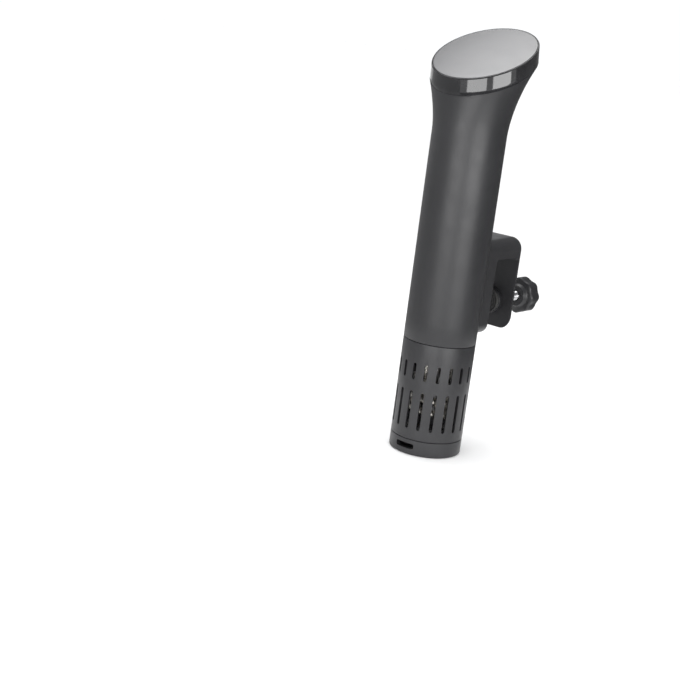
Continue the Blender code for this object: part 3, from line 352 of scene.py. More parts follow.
def rolled_aluminium():
    rolled = (1, 1, 0.05)
    made = Finish("rolled_aluminium", (0.72, 0.73, 0.75), 0.36, 1.0)
    made.mottled(0.006, (0.62, 0.63, 0.65), (1, 1, 0.1)).uneven_gloss(0.001, 0.08, rolled)
    return made.grained(0.0003, 0.00001, stretch=rolled)


def natural_nylon():
    made = Finish("natural_nylon", (0.78, 0.765, 0.70), 0.46, Subsurface_Weight=0.15)
    made.mottled(0.006, (0.70, 0.685, 0.61)).uneven_gloss(0.003, 0.06)
    return made.grained(0.0005, 0.000012)


def fired_ceramic():
    made = Finish("fired_ceramic", (0.84, 0.825, 0.78), 0.50)
    return made.mottled(0.002, (0.75, 0.73, 0.68)).speckled(0.0003, 0.00002)


def circuit_board():
    """Green mask over square copper runs."""
    made = Finish("circuit_board", (0.02, 0.13, 0.055), 0.38, Coat_Weight=0.3)
    runs = made.node("ShaderNodeTexBrick", -800, 500, Scale=420.0, Mortar_Size=0.06)
    runs.inputs["Color1"].default_value = (0.015, 0.105, 0.045, 1)
    runs.inputs["Color2"].default_value = (0.02, 0.15, 0.06, 1)
    runs.inputs["Mortar"].default_value = (0.05, 0.24, 0.09, 1)
    made.link(made.coordinates.outputs["Object"], runs.inputs["Vector"])
    made.link(runs.outputs["Color"], made.shader.inputs["Base Color"])
    return made.uneven_gloss(0.002, 0.05).raised(runs.outputs["Fac"], 0.00003, -700)


def moulded_component():
    made = Finish("moulded_component", (0.045, 0.046, 0.052), 0.5)
    made.mottled(0.003, (0.065, 0.064, 0.066)).uneven_gloss(0.002, 0.06)
    return made.grained(0.0003, 0.000015)


def winding_tape():
    made = Finish("winding_tape", (0.74, 0.57, 0.12), 0.42, Coat_Weight=0.2)
    made.mottled(0.004, (0.62, 0.44, 0.08)).uneven_gloss(0.002, 0.06)
    return made.ruled(0.0016, 0.00005, "Z")


# Each finish, and the slot that a piece of it fills.
FINISHES = {
    "satin_casing": (satin_casing, "body_housing"),
    "gloss_band": (gloss_band, "head_band"),
    "satin_panel": (satin_panel, "display_panel"),
    "moulded_skirt": (moulded_skirt, "moulded_black"),
    "soft_rubber": (soft_rubber, "soft_black"),
    "red_silicone": (red_silicone, "silicone"),
    "drawn_steel": (drawn_steel, "steel"),
    "heated_steel": (heated_steel, "steel"),
    "turned_brass": (turned_brass, "brass"),
    "rolled_aluminium": (rolled_aluminium, "aluminium"),
    "natural_nylon": (natural_nylon, "nylon"),
    "fired_ceramic": (fired_ceramic, "ceramic"),
    "circuit_board": (circuit_board, "board"),
    "moulded_component": (moulded_component, "component"),
    "winding_tape": (winding_tape, "transformer_tape"),
}


def finish(name):
    made = bpy.data.materials.get(name)
    return made or FINISHES[name][0]().material


# ---------------- shaping


def keep(obj, material, body, stands_for=()):
    """Finishes a new piece, sets it on its body and hides the plain solids that it stands for."""
    obj.data.materials.clear()
    obj.data.materials.append(finish(material))
    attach(obj, body)
    for node in stands_for:
        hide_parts(node)
    return obj


def helper(obj):
    """A cutter: never shown."""
    obj.hide_render = True
    obj.hide_viewport = True
    return obj


def mesh_object(name, points, faces, smooth_angle=38):
    mesh = bpy.data.meshes.new(name)
    mesh.from_pydata([tuple(p) for p in points], [], faces)
    shape = bmesh.new()
    shape.from_mesh(mesh)
    bmesh.ops.recalc_face_normals(shape, faces=shape.faces)
    shape.to_mesh(mesh)
    shape.free()
    mesh.shade_smooth()
    mesh.set_sharp_from_angle(angle=math.radians(smooth_angle))
    obj = bpy.data.objects.new(name, mesh)
    bpy.context.scene.collection.objects.link(obj)
    return obj


def lofted(name, rings, closed=False, smooth_angle=38):
    """A skin through rings of equal count, closed on itself like a tyre or capped at both ends."""
    count = len(rings[0])
    points = [point for ring in rings for point in ring]
    faces = []
    for band in range(len(rings) if closed else len(rings) - 1):
        here = band * count
        there = ((band + 1) % len(rings)) * count
        for i in range(count):
            j = (i + 1) % count
            faces.append((here + i, here + j, there + j, there + i))
    if not closed:
        faces.append(tuple(reversed(range(count))))
        faces.append(tuple(range((len(rings) - 1) * count, len(rings) * count)))
    return mesh_object(name, points, faces, smooth_angle)


def turns_of(count):
    """The angles of evenly spaced points round a circle."""
    return [2 * math.pi * i / count for i in range(count)]


def arc(radius, start, end, steps, centre=(0.0, 0.0)):
    """Points along an arc, from one angle to another in degrees."""
    x, y = centre
    turns = [math.radians(start + (end - start) * step / steps) for step in range(steps + 1)]
    return [(x + radius * math.cos(t), y + radius * math.sin(t)) for t in turns]


def circle(radius, height, count):
    return [Vector((radius * math.cos(t), radius * math.sin(t), height)) for t in turns_of(count)]


def turned(name, profile, closed=True, count=96, to=None, smooth_angle=38):
    """A piece turned about Z from (radius, height) points, then set in place by a matrix."""
    rings = [circle(max(radius, NEAR_AXIS), height, count) for radius, height in profile]
    if to:
        rings = [[to @ point for point in ring] for ring in rings]
    return lofted(name, rings, closed, smooth_angle)


def rounded(profile, radius, steps=4):
    """A closed profile with each corner rounded, by no more than a third of its shorter side."""
    made = []
    count = len(profile)
    for i, here in enumerate(profile):
        here = Vector(here)
        before = Vector(profile[i - 1]) - here
        after = Vector(profile[(i + 1) % count]) - here
        reach = min(radius, before.length * 0.33, after.length * 0.33)
        start = here + before.normalized() * reach
        end = here + after.normalized() * reach
        for step in range(steps + 1):
            t = step / steps
            point = start * (1 - t) ** 2 + here * 2 * t * (1 - t) + end * t**2
            made.append((point.x, point.y))
    return made


def along_y(height):
    """Lays a piece turned about Z along +Y, with its axis at this height."""
    return Matrix.Translation((0, 0, height)) @ Euler((math.radians(-90), 0, 0)).to_matrix().to_4x4()


def bar(name, points, radius, sides=24):
    """A round bar along a run of points, with rounded ends, as a mesh."""
    points = [Vector(point) for point in points]
    turns = turns_of(sides)
    across = None
    stations = []
    for i, point in enumerate(points):
        tangent = (points[min(i + 1, len(points) - 1)] - points[max(i - 1, 0)]).normalized()
        if across is None:
            across = tangent.orthogonal().normalized()
        across = (across - tangent * across.dot(tangent)).normalized()
        stations.append((point, tangent, across, tangent.cross(across)))

    def ring(station, inset=0.0, share=1.0):
        point, tangent, across, other = station
        size = radius * share
        return [point + tangent * inset + across * size * math.cos(t) + other * size * math.sin(t) for t in turns]

    nose = ((0.0, 0.35), (radius * 0.3 * 0.3, 0.8))
    rings = [ring(stations[0], inset, share) for inset, share in nose]
    rings += [ring(station) for station in stations[1:-1]]
    rings += [ring(stations[-1], -inset, share) for inset, share in nose[::-1]]
    return lofted(name, rings, False, 60)


def boolean(target, other, operation="DIFFERENCE"):
    made = target.modifiers.new(other.name, "BOOLEAN")
    made.operation = operation
    made.object = other
    made.solver = "EXACT"


def settle(obj, smooth_angle):
    """Applies the modifiers, shades the result and removes the cutters."""
    bpy.context.view_layer.update()
    graph = bpy.context.evaluated_depsgraph_get()
    mesh = bpy.data.meshes.new_from_object(obj.evaluated_get(graph))
    cutters = [m.object for m in obj.modifiers if m.type == "BOOLEAN"]
    obj.modifiers.clear()
    obj.data = mesh
    mesh.shade_smooth()
    mesh.set_sharp_from_angle(angle=math.radians(smooth_angle))
    for cutter in cutters:
        bpy.data.objects.remove(cutter, do_unlink=True)
    return obj


def slot_cutter(name, count, outline, near, far, place):
    """Prisms spaced evenly round the axis, as one cutter. place turns (u, v, depth) into a corner."""
    points, faces = [], []
    sides = len(outline)
    for index in range(count):
        turn = Matrix.Rotation(2 * math.pi * (index + 0.5) / count, 3, "Z")
        first = len(points)
        last = first + sides
        points += [turn @ Vector(place(u, v, depth)) for depth in (near, far) for u, v in outline]
        faces.append(tuple(range(first, last))[::-1])
        faces.append(tuple(range(last, last + sides)))
        for i in range(sides):
            j = (i + 1) % sides
            faces.append((first + i, first + j, last + j, last + i))
    return helper(mesh_object(name, points, faces))


# ---------------- the slanted head


def head_centre():
    """The middle of the panel's face. The band's highest point is on its bevel, a little out from the panel."""
    head = bpy.context.scene.circ_head
    lift = (PANEL_R + GAP + head.rim_width * 0.35) * math.sin(TILT) - GAP * math.cos(TILT)
    return Vector((0, bpy.context.scene.circ_casing.setback, high("head_band").z - lift))


def slanted(radius, depth, turn, lean=0.0):
    local = Vector((radius * math.cos(turn), radius * math.sin(turn) - lean, -depth))
    return head_centre() + Euler((TILT, 0, 0)).to_matrix() @ local


def slanted_ring(radius, depth, lean=0.0, count=144):
    return [slanted(radius, depth, turn, lean) for turn in turns_of(count)]


class CIRC_OT_band(bpy.types.Operator):
    """Gloss band round the head, with its narrow bevel and the ledge that carries the panel"""

    bl_idname = "circulator.band"
    bl_label = "Head band"

    def execute(self, context):
        head = context.scene.circ_head
        seat = PANEL_R + GAP
        outer = PANEL_R + head.rim_width - 0.00011
        inner = outer - head.band_wall
        ledge_r, ledge_top, ledge_bottom = seat - 0.0026, 0.0029, 0.0053
        face = 0.0003  # the flat rim lies this far under the panel's face
        flat = seat + head.rim_width * 0.25
        drop, bottom = head.rim_drop, head.band_depth + 0.0002
        profile = [
            (seat, ledge_top),
            (seat, face + 0.0002),
            (seat + 0.00004, face + 0.00004),
            (seat + 0.0001, face),
            (seat + 0.00014, face),
            (flat - 0.00006, face),
            (flat, face),
            (flat + 0.00005, face + 0.00003),
            (flat + 0.00009, face + 0.00007),
            (outer - 0.0001, drop - 0.0001),
            (outer - 0.00006, drop - 0.00006),
            (outer - 0.00001, drop + 0.00002),
            (outer, drop + 0.0001),
            (outer, drop + 0.00016),
            (outer + 0.0001, drop + 0.0035),
            (outer + 0.0002, bottom - 0.0024),
            (outer + 0.00028, bottom - 0.00008),
            (outer + 0.00022, bottom),
            (inner, bottom),
            (inner, ledge_bottom),
            (ledge_r, ledge_bottom),
            (ledge_r, ledge_top),
        ]
        span = head.band_depth + GAP - drop
        rings = []
        for radius, depth in profile:
            # The seat and ledge stay square to the panel, and only the side leans.
            in_seat = depth <= ledge_bottom and radius <= seat
            lean = 0.0 if in_seat else head.band_lean * max(0.0, depth - drop) / span
            rings.append(slanted_ring(radius, depth, lean))
        band = lofted("gloss_head_band", rings, True, 50)
        keep(band, "gloss_band", MAIN, ["head_band"])
        return {"FINISHED"}


class CIRC_OT_panel(bpy.types.Operator):
    """Satin control panel, its edge just broken, lying in the band"""

    bl_idname = "circulator.panel"
    bl_label = "Control panel"

    def execute(self, context):
        thick, edge, under_edge = 0.002, 0.0004, 0.0002
        rings = [slanted_ring(NEAR_AXIS, 0.0)]
        rings += [slanted_ring(PANEL_R * share, 0.0) for share in (0.25, 0.5, 0.75, 0.9, 0.97)]
        rings += [slanted_ring(r, -depth) for r, depth in arc(edge, 90, 0, 4, (PANEL_R - edge, -edge))]
        rings.append(slanted_ring(PANEL_R, thick - under_edge))
        rings.append(slanted_ring(PANEL_R - under_edge, thick))
        rings.append(slanted_ring(NEAR_AXIS, thick))
        panel = lofted("control_panel", rings, False, 50)
        keep(panel, "satin_panel", MAIN, ["display_panel"])
        return {"FINISHED"}


class CIRC_OT_casing(bpy.types.Operator):
    """Satin body casing: a straight tube that opens out into the slanted head"""

    bl_idname = "circulator.casing"
    bl_label = "Body casing"

    count = 144
    flare_steps = 26

    def flare(self, context, inset, share):
        """A ring part of the way from the round body to the head's slanted oval."""
        casing = context.scene.circ_casing
        head = context.scene.circ_head
        start = head_centre().z - casing.flare_height
        top_r = PANEL_R + head.rim_width + GAP - inset
        spread = share**casing.flare_power
        ring = []
        for turn, foot in zip(turns_of(self.count), circle(BODY_R - inset, start, self.count)):
            crest = slanted(top_r, head.band_depth + GAP, turn, head.band_lean)
            point = foot.lerp(crest, spread)
            point.z = start + (crest.z - start) * share
            ring.append(point)
        return ring

    def execute(self, context):
        casing = context.scene.circ_casing
        start = head_centre().z - casing.flare_height
        lip, tube_steps, crest_edge = 0.0005, 10, 0.00008
        inner = BODY_R - casing.wall
        outside = [circle(BODY_R - lip, BODY_LOW, self.count)]
        outside.append(circle(BODY_R - lip * 0.3, BODY_LOW + lip * 0.3, self.count))
        for step in range(tube_steps + 1):
            height = BODY_LOW + lip + (start - BODY_LOW - lip) * step / tube_steps
            outside.append(circle(BODY_R, height, self.count))
        outside += [self.flare(context, 0.0, step / self.flare_steps) for step in range(1, self.flare_steps)]
        outside += [self.flare(context, 0.0, 0.998), self.flare(context, crest_edge, 1.0)]
        inside = [circle(inner, BODY_LOW, self.count), circle(inner, start, self.count)]
        for step in range(4, self.flare_steps + 1, 4):
            inside.append(self.flare(context, casing.wall, step / self.flare_steps))
        inside.append(self.flare(context, casing.wall, 1.0))
        shell = lofted("satin_body_casing", outside + inside[::-1], True, 40)
        keep(shell, "satin_casing", MAIN, ["body_housing"])
        return {"FINISHED"}


# ---------------- the wet end

SKIRT_WALL = 0.0017


class CIRC_OT_skirt(bpy.types.Operator):
    """Slotted skirt that guards the heater and pulls off for cleaning"""

    bl_idname = "circulator.skirt"
    bl_label = "Slotted skirt"

    def execute(self, context):
        wet = context.scene.circ_wet_end
        bottom, top = low("skirt").z, high("skirt").z
        inner = BODY_R - SKIRT_WALL
        past = 0.002
        profile = rounded([(inner, top), (BODY_R, top), (BODY_R, bottom), (inner, bottom)], 0.0004)
        skirt = turned("slotted_skirt", profile, True, 144)
        half = wet.slot_width / 2
        for name, start, height in (("low_slots", 0.008, 0.030), ("high_slots", 0.047, 0.013)):
            outline = arc(half, 0, 180, 6, (0, bottom + start + height - half))
            outline += arc(half, 180, 360, 6, (0, bottom + start + half))
            cutter = slot_cutter(
                name, wet.slot_count, outline, inner - past, BODY_R + past, lambda u, v, depth: (depth, u, v)
            )
            boolean(skirt, cutter)
        settle(skirt, 35)
        keep(skirt, "moulded_skirt", SKIRT, ["skirt"])
        return {"FINISHED"}


class CIRC_OT_foot(bpy.types.Operator):
    """Foot with its ring of inlets underneath and the water outlet at the front"""

    bl_idname = "circulator.foot"
    bl_label = "Foot"

    def execute(self, context):
        top = high("foot_cap").z
        height = low("skirt").z - GAP
        floor, edge = 0.0024, 0.0012
        lip = BODY_R - SKIRT_WALL - GAP
        bore = lip - 0.0022
        profile = [(bore, top), (lip - 0.0004, top), (lip, top - 0.0008), (lip, height)]
        profile += [(BODY_R - 0.0003, height), (BODY_R, height - 0.0003)]
        profile += arc(edge, 0, -90, 5, (BODY_R - edge, edge))
        profile += [(NEAR_AXIS, 0.0), (NEAR_AXIS, floor), (bore, floor)]
        foot = turned("slotted_foot", profile, True, 144)
        half, near, far = 0.0012, 0.010, bore - 0.0022
        outline = arc(half, -90, 90, 6, (far - half, 0)) + arc(half, 90, 270, 6, (near + half, 0))
        slots = slot_cutter("foot_slots", 10, outline, -floor, floor * 2, lambda u, v, depth: (u, v, depth))
        boolean(foot, slots)
        half_width, half_height = 0.008, 0.0021
        middle_z = floor + 0.0022 + half_height
        corners = [(-half_width, -half_height), (half_width, -half_height)]
        corners += [(half_width, half_height), (-half_width, half_height)]
        outline = rounded(corners, 0.0014)
        rings = [[Vector((x, y, middle_z + z)) for x, z in outline] for y in (-BODY_R * 1.3, -BODY_R * 0.5)]
        boolean(foot, helper(lofted("outlet_cutter", rings)))
        settle(foot, 35)
        keep(foot, "moulded_skirt", SKIRT, ["foot_cap"])
        return {"FINISHED"}


class CIRC_OT_heater(bpy.types.Operator):
    """Sheathed heater: a straight leg down, three turns, and a leg back up beside the axis"""

    bl_idname = "circulator.heater"
    bl_label = "Heater coil"

    def execute(self, context):
        coil_r, return_r, tube_r = 0.016, 0.0088, 0.003
        turns, pitch, bottom = 3, 0.0095, low("heater_coil").z + tube_r
        bend_steps, coil_steps, inward_steps = 8, 40, 20
        crest = bottom + turns * pitch
        top = high("heater_coil").z
        end_piece = 0.001
        bend = tube_r * 2
        lead_in = bend / coil_r
        lead_out = math.pi - bend / return_r

        def at(radius, turn, height):
            return Vector((radius * math.cos(turn), radius * math.sin(turn), height))

        quarter = [math.pi / 2 * step / bend_steps for step in range(bend_steps + 1)]
        points = [at(coil_r, 0, top), at(coil_r, 0, top - end_piece)]
        points += [at(coil_r, lead_in * (1 - math.cos(t)), crest + bend * (1 - math.sin(t))) for t in quarter]
        steps = turns * coil_steps
        for share in (step / steps for step in range(1, steps + 1)):
            turn = lead_in + (2 * math.pi * turns - lead_in) * share
            points.append(at(coil_r, turn, crest + (bottom - crest) * share))
        for share in (step / inward_steps for step in range(1, inward_steps + 1)):
            eased = share * share * (3 - 2 * share)
            points.append(at(coil_r + (return_r - coil_r) * eased, lead_out * share, bottom))
        for t in quarter[1:]:
            turn = lead_out + (math.pi - lead_out) * math.sin(t)
            points.append(at(return_r, turn, bottom + bend * (1 - math.cos(t))))
        points += [at(return_r, math.pi, top - end_piece), at(return_r, math.pi, top)]
        coil = bar("heater_sheath", points, tube_r)
        keep(coil, "heated_steel", MAIN, ["heater_coil"])
        return {"FINISHED"}


class CIRC_OT_impeller(bpy.types.Operator):
    """Impeller with swept vanes on a thin floor"""

    bl_idname = "circulator.impeller"
    bl_label = "Impeller"

    def execute(self, context):
        bottom, top = low("impeller").z, high("impeller").z
        outer = width("impeller") / 2
        bore, hub, rim, inset = 0.0023, 0.0055, outer - 0.0004, 0.0006
        plate_top, vane_foot = bottom + 0.0016, bottom + 0.0008
        half_thick, sweep, crown_drop = 0.0007, 0.55, 0.0006
        profile = [(bore, top), (hub, top), (hub, plate_top), (rim, plate_top), (rim, bottom), (bore, bottom)]
        wheel = turned("vaned_impeller", rounded(profile, 0.0004), True, 72)
        for index, start in enumerate(turns_of(context.scene.circ_wet_end.vane_count)):
            rings = []
            for share in (step / 8 for step in range(9)):
                turn = start + sweep * share
                out = Vector((math.cos(turn), math.sin(turn), 0))
                side = Vector((-out.y, out.x, 0)) * half_thick
                base = out * (hub - inset + (outer - inset - hub) * share)
                foot = base + Vector((0, 0, vane_foot))
                crown = base + Vector((0, 0, top - 0.0004 - crown_drop * share))
                rings.append([foot - side, foot + side, crown + side * 0.8, crown - side * 0.8])
            boolean(wheel, helper(lofted(f"vane_{index + 1}", rings)), "UNION")
        settle(wheel, 35)
        keep(wheel, "natural_nylon", DRIVE, ["impeller"])
        return {"FINISHED"}


class CIRC_OT_wet_fittings(bpy.types.Operator):
    """Shaft tube, drive shaft and the three probes, turned smooth with softened ends"""

    bl_idname = "circulator.wet_fittings"
    bl_label = "Shaft tube and probes"

    def execute(self, context):
        tube_r = width("shaft_tube") / 2
        bore = tube_r - 0.0014
        bottom, top = low("shaft_tube").z, high("shaft_tube").z
        profile = rounded([(bore, top), (tube_r, top), (tube_r, bottom), (bore, bottom)], 0.0003)
        keep(turned("steel_shaft_tube", profile, True, 48), "drawn_steel", MAIN, ["shaft_tube"])
        for node in ("temperature_probe", "level_probe_1", "level_probe_2"):
            least, most = box(node)
            radius = width(node) / 2
            nose = radius * 0.9
            profile = [(NEAR_AXIS, most.z), (radius * 0.8, most.z), (radius, most.z - radius * 0.2)]
            for turn in (math.pi / 2 * step / 6 for step in range(7)):
                profile.append((radius * math.cos(turn), least.z + nose - nose * math.sin(turn)))
            place = Matrix.Translation((middle(node).x, middle(node).y, 0))
            made = turned(node + "_sheath", profile, False, 32, place)
            keep(made, "drawn_steel", MAIN, [node])
        least, most = box("drive_shaft")
        radius, edge = width("drive_shaft") / 2, 0.0003
        profile = [(NEAR_AXIS, most.z), (radius - edge, most.z), (radius, most.z - edge)]
        profile += [(radius, least.z + edge), (radius - edge, least.z), (NEAR_AXIS, least.z)]
        keep(turned("steel_drive_shaft", profile, False, 32), "drawn_steel", DRIVE, ["drive_shaft"])
        return {"FINISHED"}


# ---------------- the vessel clamp


class CIRC_OT_clamp_frame(bpy.types.Operator):
    """Staple that hooks over the vessel's wall, crowned across its arm, with the boss for the screw"""

    bl_idname = "circulator.clamp_frame"
    bl_label = "Clamp frame"

    def outline(self, context, across, inset):
        """The staple seen from the side, before its gap is cut, drawn in by an inset."""
        clamp = context.scene.circ_clamp
        bottom, top = low("clamp_bracket").z, high("clamp_bracket").z
        reach = clamp.corner
        corner_y = high("thread_insert").y + GAP - 0.005 - reach
        start = BODY_R / 3
        outline = [(start, bottom + inset)]
        outline += arc(reach - inset, -90, 0, 12, (corner_y, bottom + reach))
        outline += arc(reach - inset, 0, 90, 12, (corner_y, top - reach))
        for share in (0.66, 0.33, 0.0):
            outline.append((start + (corner_y - start) * share, top - inset - clamp.fall * (1 - share)))
        return [Vector((across, y, z)) for y, z in outline]

    def execute(self, context):
        clamp = context.scene.circ_clamp
        half = width("clamp_bracket") / 2
        turns = [math.pi / 2 * step / 12 for step in range(13)]
        edge = [(clamp.edge * math.sin(t), clamp.edge * (1 - math.cos(t))) for t in turns]
        flat = half - clamp.edge
        rings = [self.outline(context, -flat - out, inset) for out, inset in edge[::-1]]
        rings += [self.outline(context, flat + out, inset) for out, inset in edge]
        staple = lofted("clamp_staple", rings, False, 40)
        below = low("clamp_bracket").z - 0.02
        roof = high("clamp_bracket").z - 0.0155
        jaw, leg = low("jaw_pad").y - GAP, low("thread_insert").y - GAP
        corner_r = 0.003
        outline = [(jaw, below), (leg, below)]
        outline += arc(corner_r, 0, 90, 6, (leg - corner_r, roof - corner_r))
        outline += arc(corner_r, 90, 180, 6, (jaw + corner_r, roof - corner_r))
        gap_rings = [[Vector((x, y, z)) for y, z in outline] for x in (-half * 2, half * 2)]
        seat = [circle(BODY_R + GAP, z, 144) for z in (0.0, high("head_band").z)]
        place = along_y(middle("thread_insert").z)
        back = high("thread_insert").y + GAP
        boss_r, boss_start, boss_core = 0.0105, leg + 0.0035, 0.0001
        profile = [(boss_core, back), (boss_r, back), (boss_r, boss_start), (boss_core, boss_start)]
        boss = turned("screw_boss", rounded(profile, 0.0006), True, 64, place)
        hole_r = width("thread_insert") / 2 + GAP
        hole_start, hole_end = leg - 0.01, back + 0.01
        profile = [(NEAR_AXIS, hole_end), (hole_r, hole_end), (hole_r, hole_start), (NEAR_AXIS, hole_start)]
        hole = turned("insert_bore", profile, False, 64, place)
        boolean(staple, helper(lofted("gap_cutter", gap_rings)))
        boolean(staple, helper(lofted("body_seat", seat)))
        boolean(staple, helper(boss), "UNION")
        boolean(staple, helper(hole))
        settle(staple, 32)
        keep(staple, "satin_casing", MAIN, ["clamp_bracket"])
        return {"FINISHED"}


class CIRC_OT_clamp_screw(bpy.types.Operator):
    """Threaded clamp screw and its lobed hand knob"""

    bl_idname = "circulator.clamp_screw"
    bl_label = "Clamp screw and knob"

    def execute(self, context):
        pitch = context.scene.circ_clamp.pitch
        least, most = box("clamp_screw")
        radius = width("clamp_screw") / 2
        place = along_y(middle("clamp_screw").z)
        sides, per_turn, thread, run_out = 36, 10, 0.0006, 0.0012
        length = most.y - least.y
        steps = int(length / pitch * per_turn)
        rings = []
        for y in (least.y + length * step / steps for step in range(steps + 1)):
            fade = min(1.0, min(y - least.y, most.y - y) / run_out)
            ring = []
            for i, turn in enumerate(turns_of(sides)):
                ridge = abs((y / pitch + i / sides) % 1.0 * 2 - 1)
                r = (radius - thread * min(1.0, ridge * 1.3)) * (0.82 + 0.18 * fade)
                ring.append(place @ Vector((r * math.cos(turn), r * math.sin(turn), y)))
            rings.append(ring)
        keep(lofted("threaded_screw", rings, False, 50), "drawn_steel", SCREW, ["clamp_screw"])
        self.knob(context)
        return {"FINISHED"}

    def knob(self, context):
        lobes, lobe_depth = context.scene.circ_clamp.lobes, 0.0011
        front, back = low("clamp_knob").y, high("clamp_knob").y
        outer = width("clamp_knob") / 2
        place = along_y(middle("clamp_knob").z)
        bore = 0.0043
        bore_end = high("clamp_screw").y + GAP
        neck = outer * 0.6
        edge = 0.0015
        profile = [
            (bore, bore_end, 0.0),
            (bore, front + 0.0004, 0.0),
            (bore + 0.0004, front, 0.0),
            (neck - 0.0006, front, 0.0),
            (neck, front + 0.0006, 0.0),
            (neck + edge * 0.4, front + edge * 1.6, 0.0),
            (neck + edge, front + edge * 2, 0.2),
            (outer - edge * 1.2, front + edge * 2, 0.9),
            (outer - edge * 0.4, front + edge * 2.3, 1.0),
            (outer, front + edge * 3, 1.0),
            (outer, (front + back) / 2 + edge, 1.0),
            (outer, back - edge * 1.2, 1.0),
            (outer - edge * 0.3, back - edge * 0.4, 1.0),
            (outer - edge, back, 0.9),
            (outer * 0.66, back, 0.0),
            (outer * 0.62, back - 0.0007, 0.0),
            (outer * 0.20, back - 0.0009, 0.0),
            (NEAR_AXIS, back - 0.0009, 0.0),
        ]
        rings = []
        for r, y, share in profile:
            ring = []
            for turn in turns_of(144):
                size = r - lobe_depth * share * (1 - math.cos(turn * lobes)) / 2
                ring.append(place @ Vector((size * math.cos(turn), size * math.sin(turn), y)))
            rings.append(ring)
        keep(lofted("lobed_knob", rings, False, 40), "moulded_skirt", SCREW, ["clamp_knob"])


class CIRC_OT_clamp_pads(bpy.types.Operator):
    """Ribbed rubber on the jaw, and the swivelling pressure pad with its ringed rubber face"""

    bl_idname = "circulator.clamp_pads"
    bl_label = "Clamp pads"

    def execute(self, context):
        self.jaw_pad()
        place = along_y(middle("pressure_pad").z)
        front, back = low("pressure_pad").y, high("pressure_pad").y
        outer = width("pressure_pad") / 2
        bore, socket = 0.0043, back - 0.0022
        profile = [(bore, back), (outer, back), (outer, front), (NEAR_AXIS, front), (NEAR_AXIS, socket)]
        profile.append((bore, socket))
        pad = turned("pressure_cup", rounded(profile, 0.0006), True, 72, place)
        keep(pad, "moulded_skirt", PAD, ["pressure_pad"])
        front, back = low("pressure_pad_face").y, high("pressure_pad_face").y
        outer = width("pressure_pad_face") / 2
        profile = [(NEAR_AXIS, back), (outer, back), (outer, front + 0.0006), (outer - 0.0006, front)]
        rings, groove = 4, 0.0005
        for index in range(rings):
            r = outer - 0.0012 - index * (outer - 0.002) / rings
            profile += [(r, front), (r - 0.0002, front + groove)]
            profile += [(r - 0.0009, front + groove), (r - 0.0011, front)]
        profile.append((NEAR_AXIS, front))
        face = turned("ringed_pad_face", profile, False, 72, place)
        keep(face, "soft_rubber", PAD, ["pressure_pad_face"])
        return {"FINISHED"}

    def jaw_pad(self):
        least, most = box("jaw_pad")
        ribs, groove, narrow, wide = 12, 0.0005, 0.0002, 0.0006
        pitch = (most.z - least.z) / ribs
        outline = [(least.y, most.z), (least.y, least.z)]
        for z in (least.z + index * pitch for index in range(ribs)):
            outline += [(most.y - groove, z + narrow), (most.y, z + wide)]
            outline += [(most.y, z + pitch - wide), (most.y - groove, z + pitch - narrow)]
        half = width("jaw_pad") / 2
        rings = [[Vector((x, y, z)) for y, z in outline] for x in (-half, half)]
        pad = lofted("ribbed_jaw_pad", rings, False, 30)
        keep(pad, "soft_rubber", MAIN, ["jaw_pad"])


class CIRC_OT_cord_gland(bpy.types.Operator):
    """Sealed cord inlet at the back, with grip rings round its nose"""

    bl_idname = "circulator.cord_gland"
    bl_label = "Cord inlet"

    def execute(self, context):
        start, end = low("cord_gland").y, high("cord_gland").y
        outer = width("cord_gland") / 2
        seat = BODY_R + GAP
        bore, shank, edge, grooves = 0.0034, 0.0042, 0.0003, 3
        profile = [(bore + edge, end), (outer * 0.84, end), (outer * 0.88, end - 0.0004)]
        for index in range(grooves):
            y = end - 0.0012 - index * 0.0016
            r = outer * (0.9 + 0.03 * index)
            profile += [(r, y), (r - 0.0004, y - 0.0002), (r - 0.0004, y - 0.0006), (r + 0.0001, y - 0.0008)]
        profile += [(outer, seat + (end - seat) * 0.25), (outer, seat + edge), (outer - edge, seat)]
        profile += [(shank, seat), (shank, start), (bore, start), (bore, end - edge)]
        gland = turned("ringed_cord_gland", profile, True, 64, along_y(middle("cord_gland").z))
        keep(gland, "soft_rubber", MAIN, ["cord_gland"])
        return {"FINISHED"}


# ---------------- what is inside

INNER_FINISHES = {
    "drawn_steel": ["bracket_screw_1", "bracket_screw_2", "motor_can", "motor_rotor"]
    + ["touch_spring_1", "touch_spring_2", "touch_spring_3"],
    "moulded_skirt": ["bulkhead", "display_carrier", "motor_mount", "pump_plate"],
    "red_silicone": ["bulkhead_o_ring", "shaft_seal", "heater_wire_1", "heater_wire_2"],
    "moulded_component": ["buzzer", "filter_capacitor", "led_display", "motor_end_cap"]
    + ["relay", "ribbon_cable", "triac"],
    "circuit_board": ["display_board", "power_board"],
    "natural_nylon": ["gland_nut", "inner_frame", "lower_bush", "terminal_block"],
    "fired_ceramic": ["heater_terminal_1", "heater_terminal_2"],
    "turned_brass": ["motor_standoff_1", "motor_standoff_2", "motor_standoff_3"]
    + ["shaft_coupling", "thread_insert"],
    "soft_rubber": ["motor_isolator", "panel_gasket"],
    "rolled_aluminium": ["triac_heatsink", "wireless_module"],
    "winding_tape": ["transformer"],
}


class CIRC_OT_inner_parts(bpy.types.Operator):
    """Gives the boards, motor, seals and fixings inside their own finishes"""

    bl_idname = "circulator.inner_parts"
    bl_label = "Inner parts"

    def execute(self, context):
        for name, nodes in INNER_FINISHES.items():
            for node in nodes:
                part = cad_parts[node]
                part.data.materials.clear()
                part.data.materials.append(finish(name))
        return {"FINISHED"}


# ---------------- studio


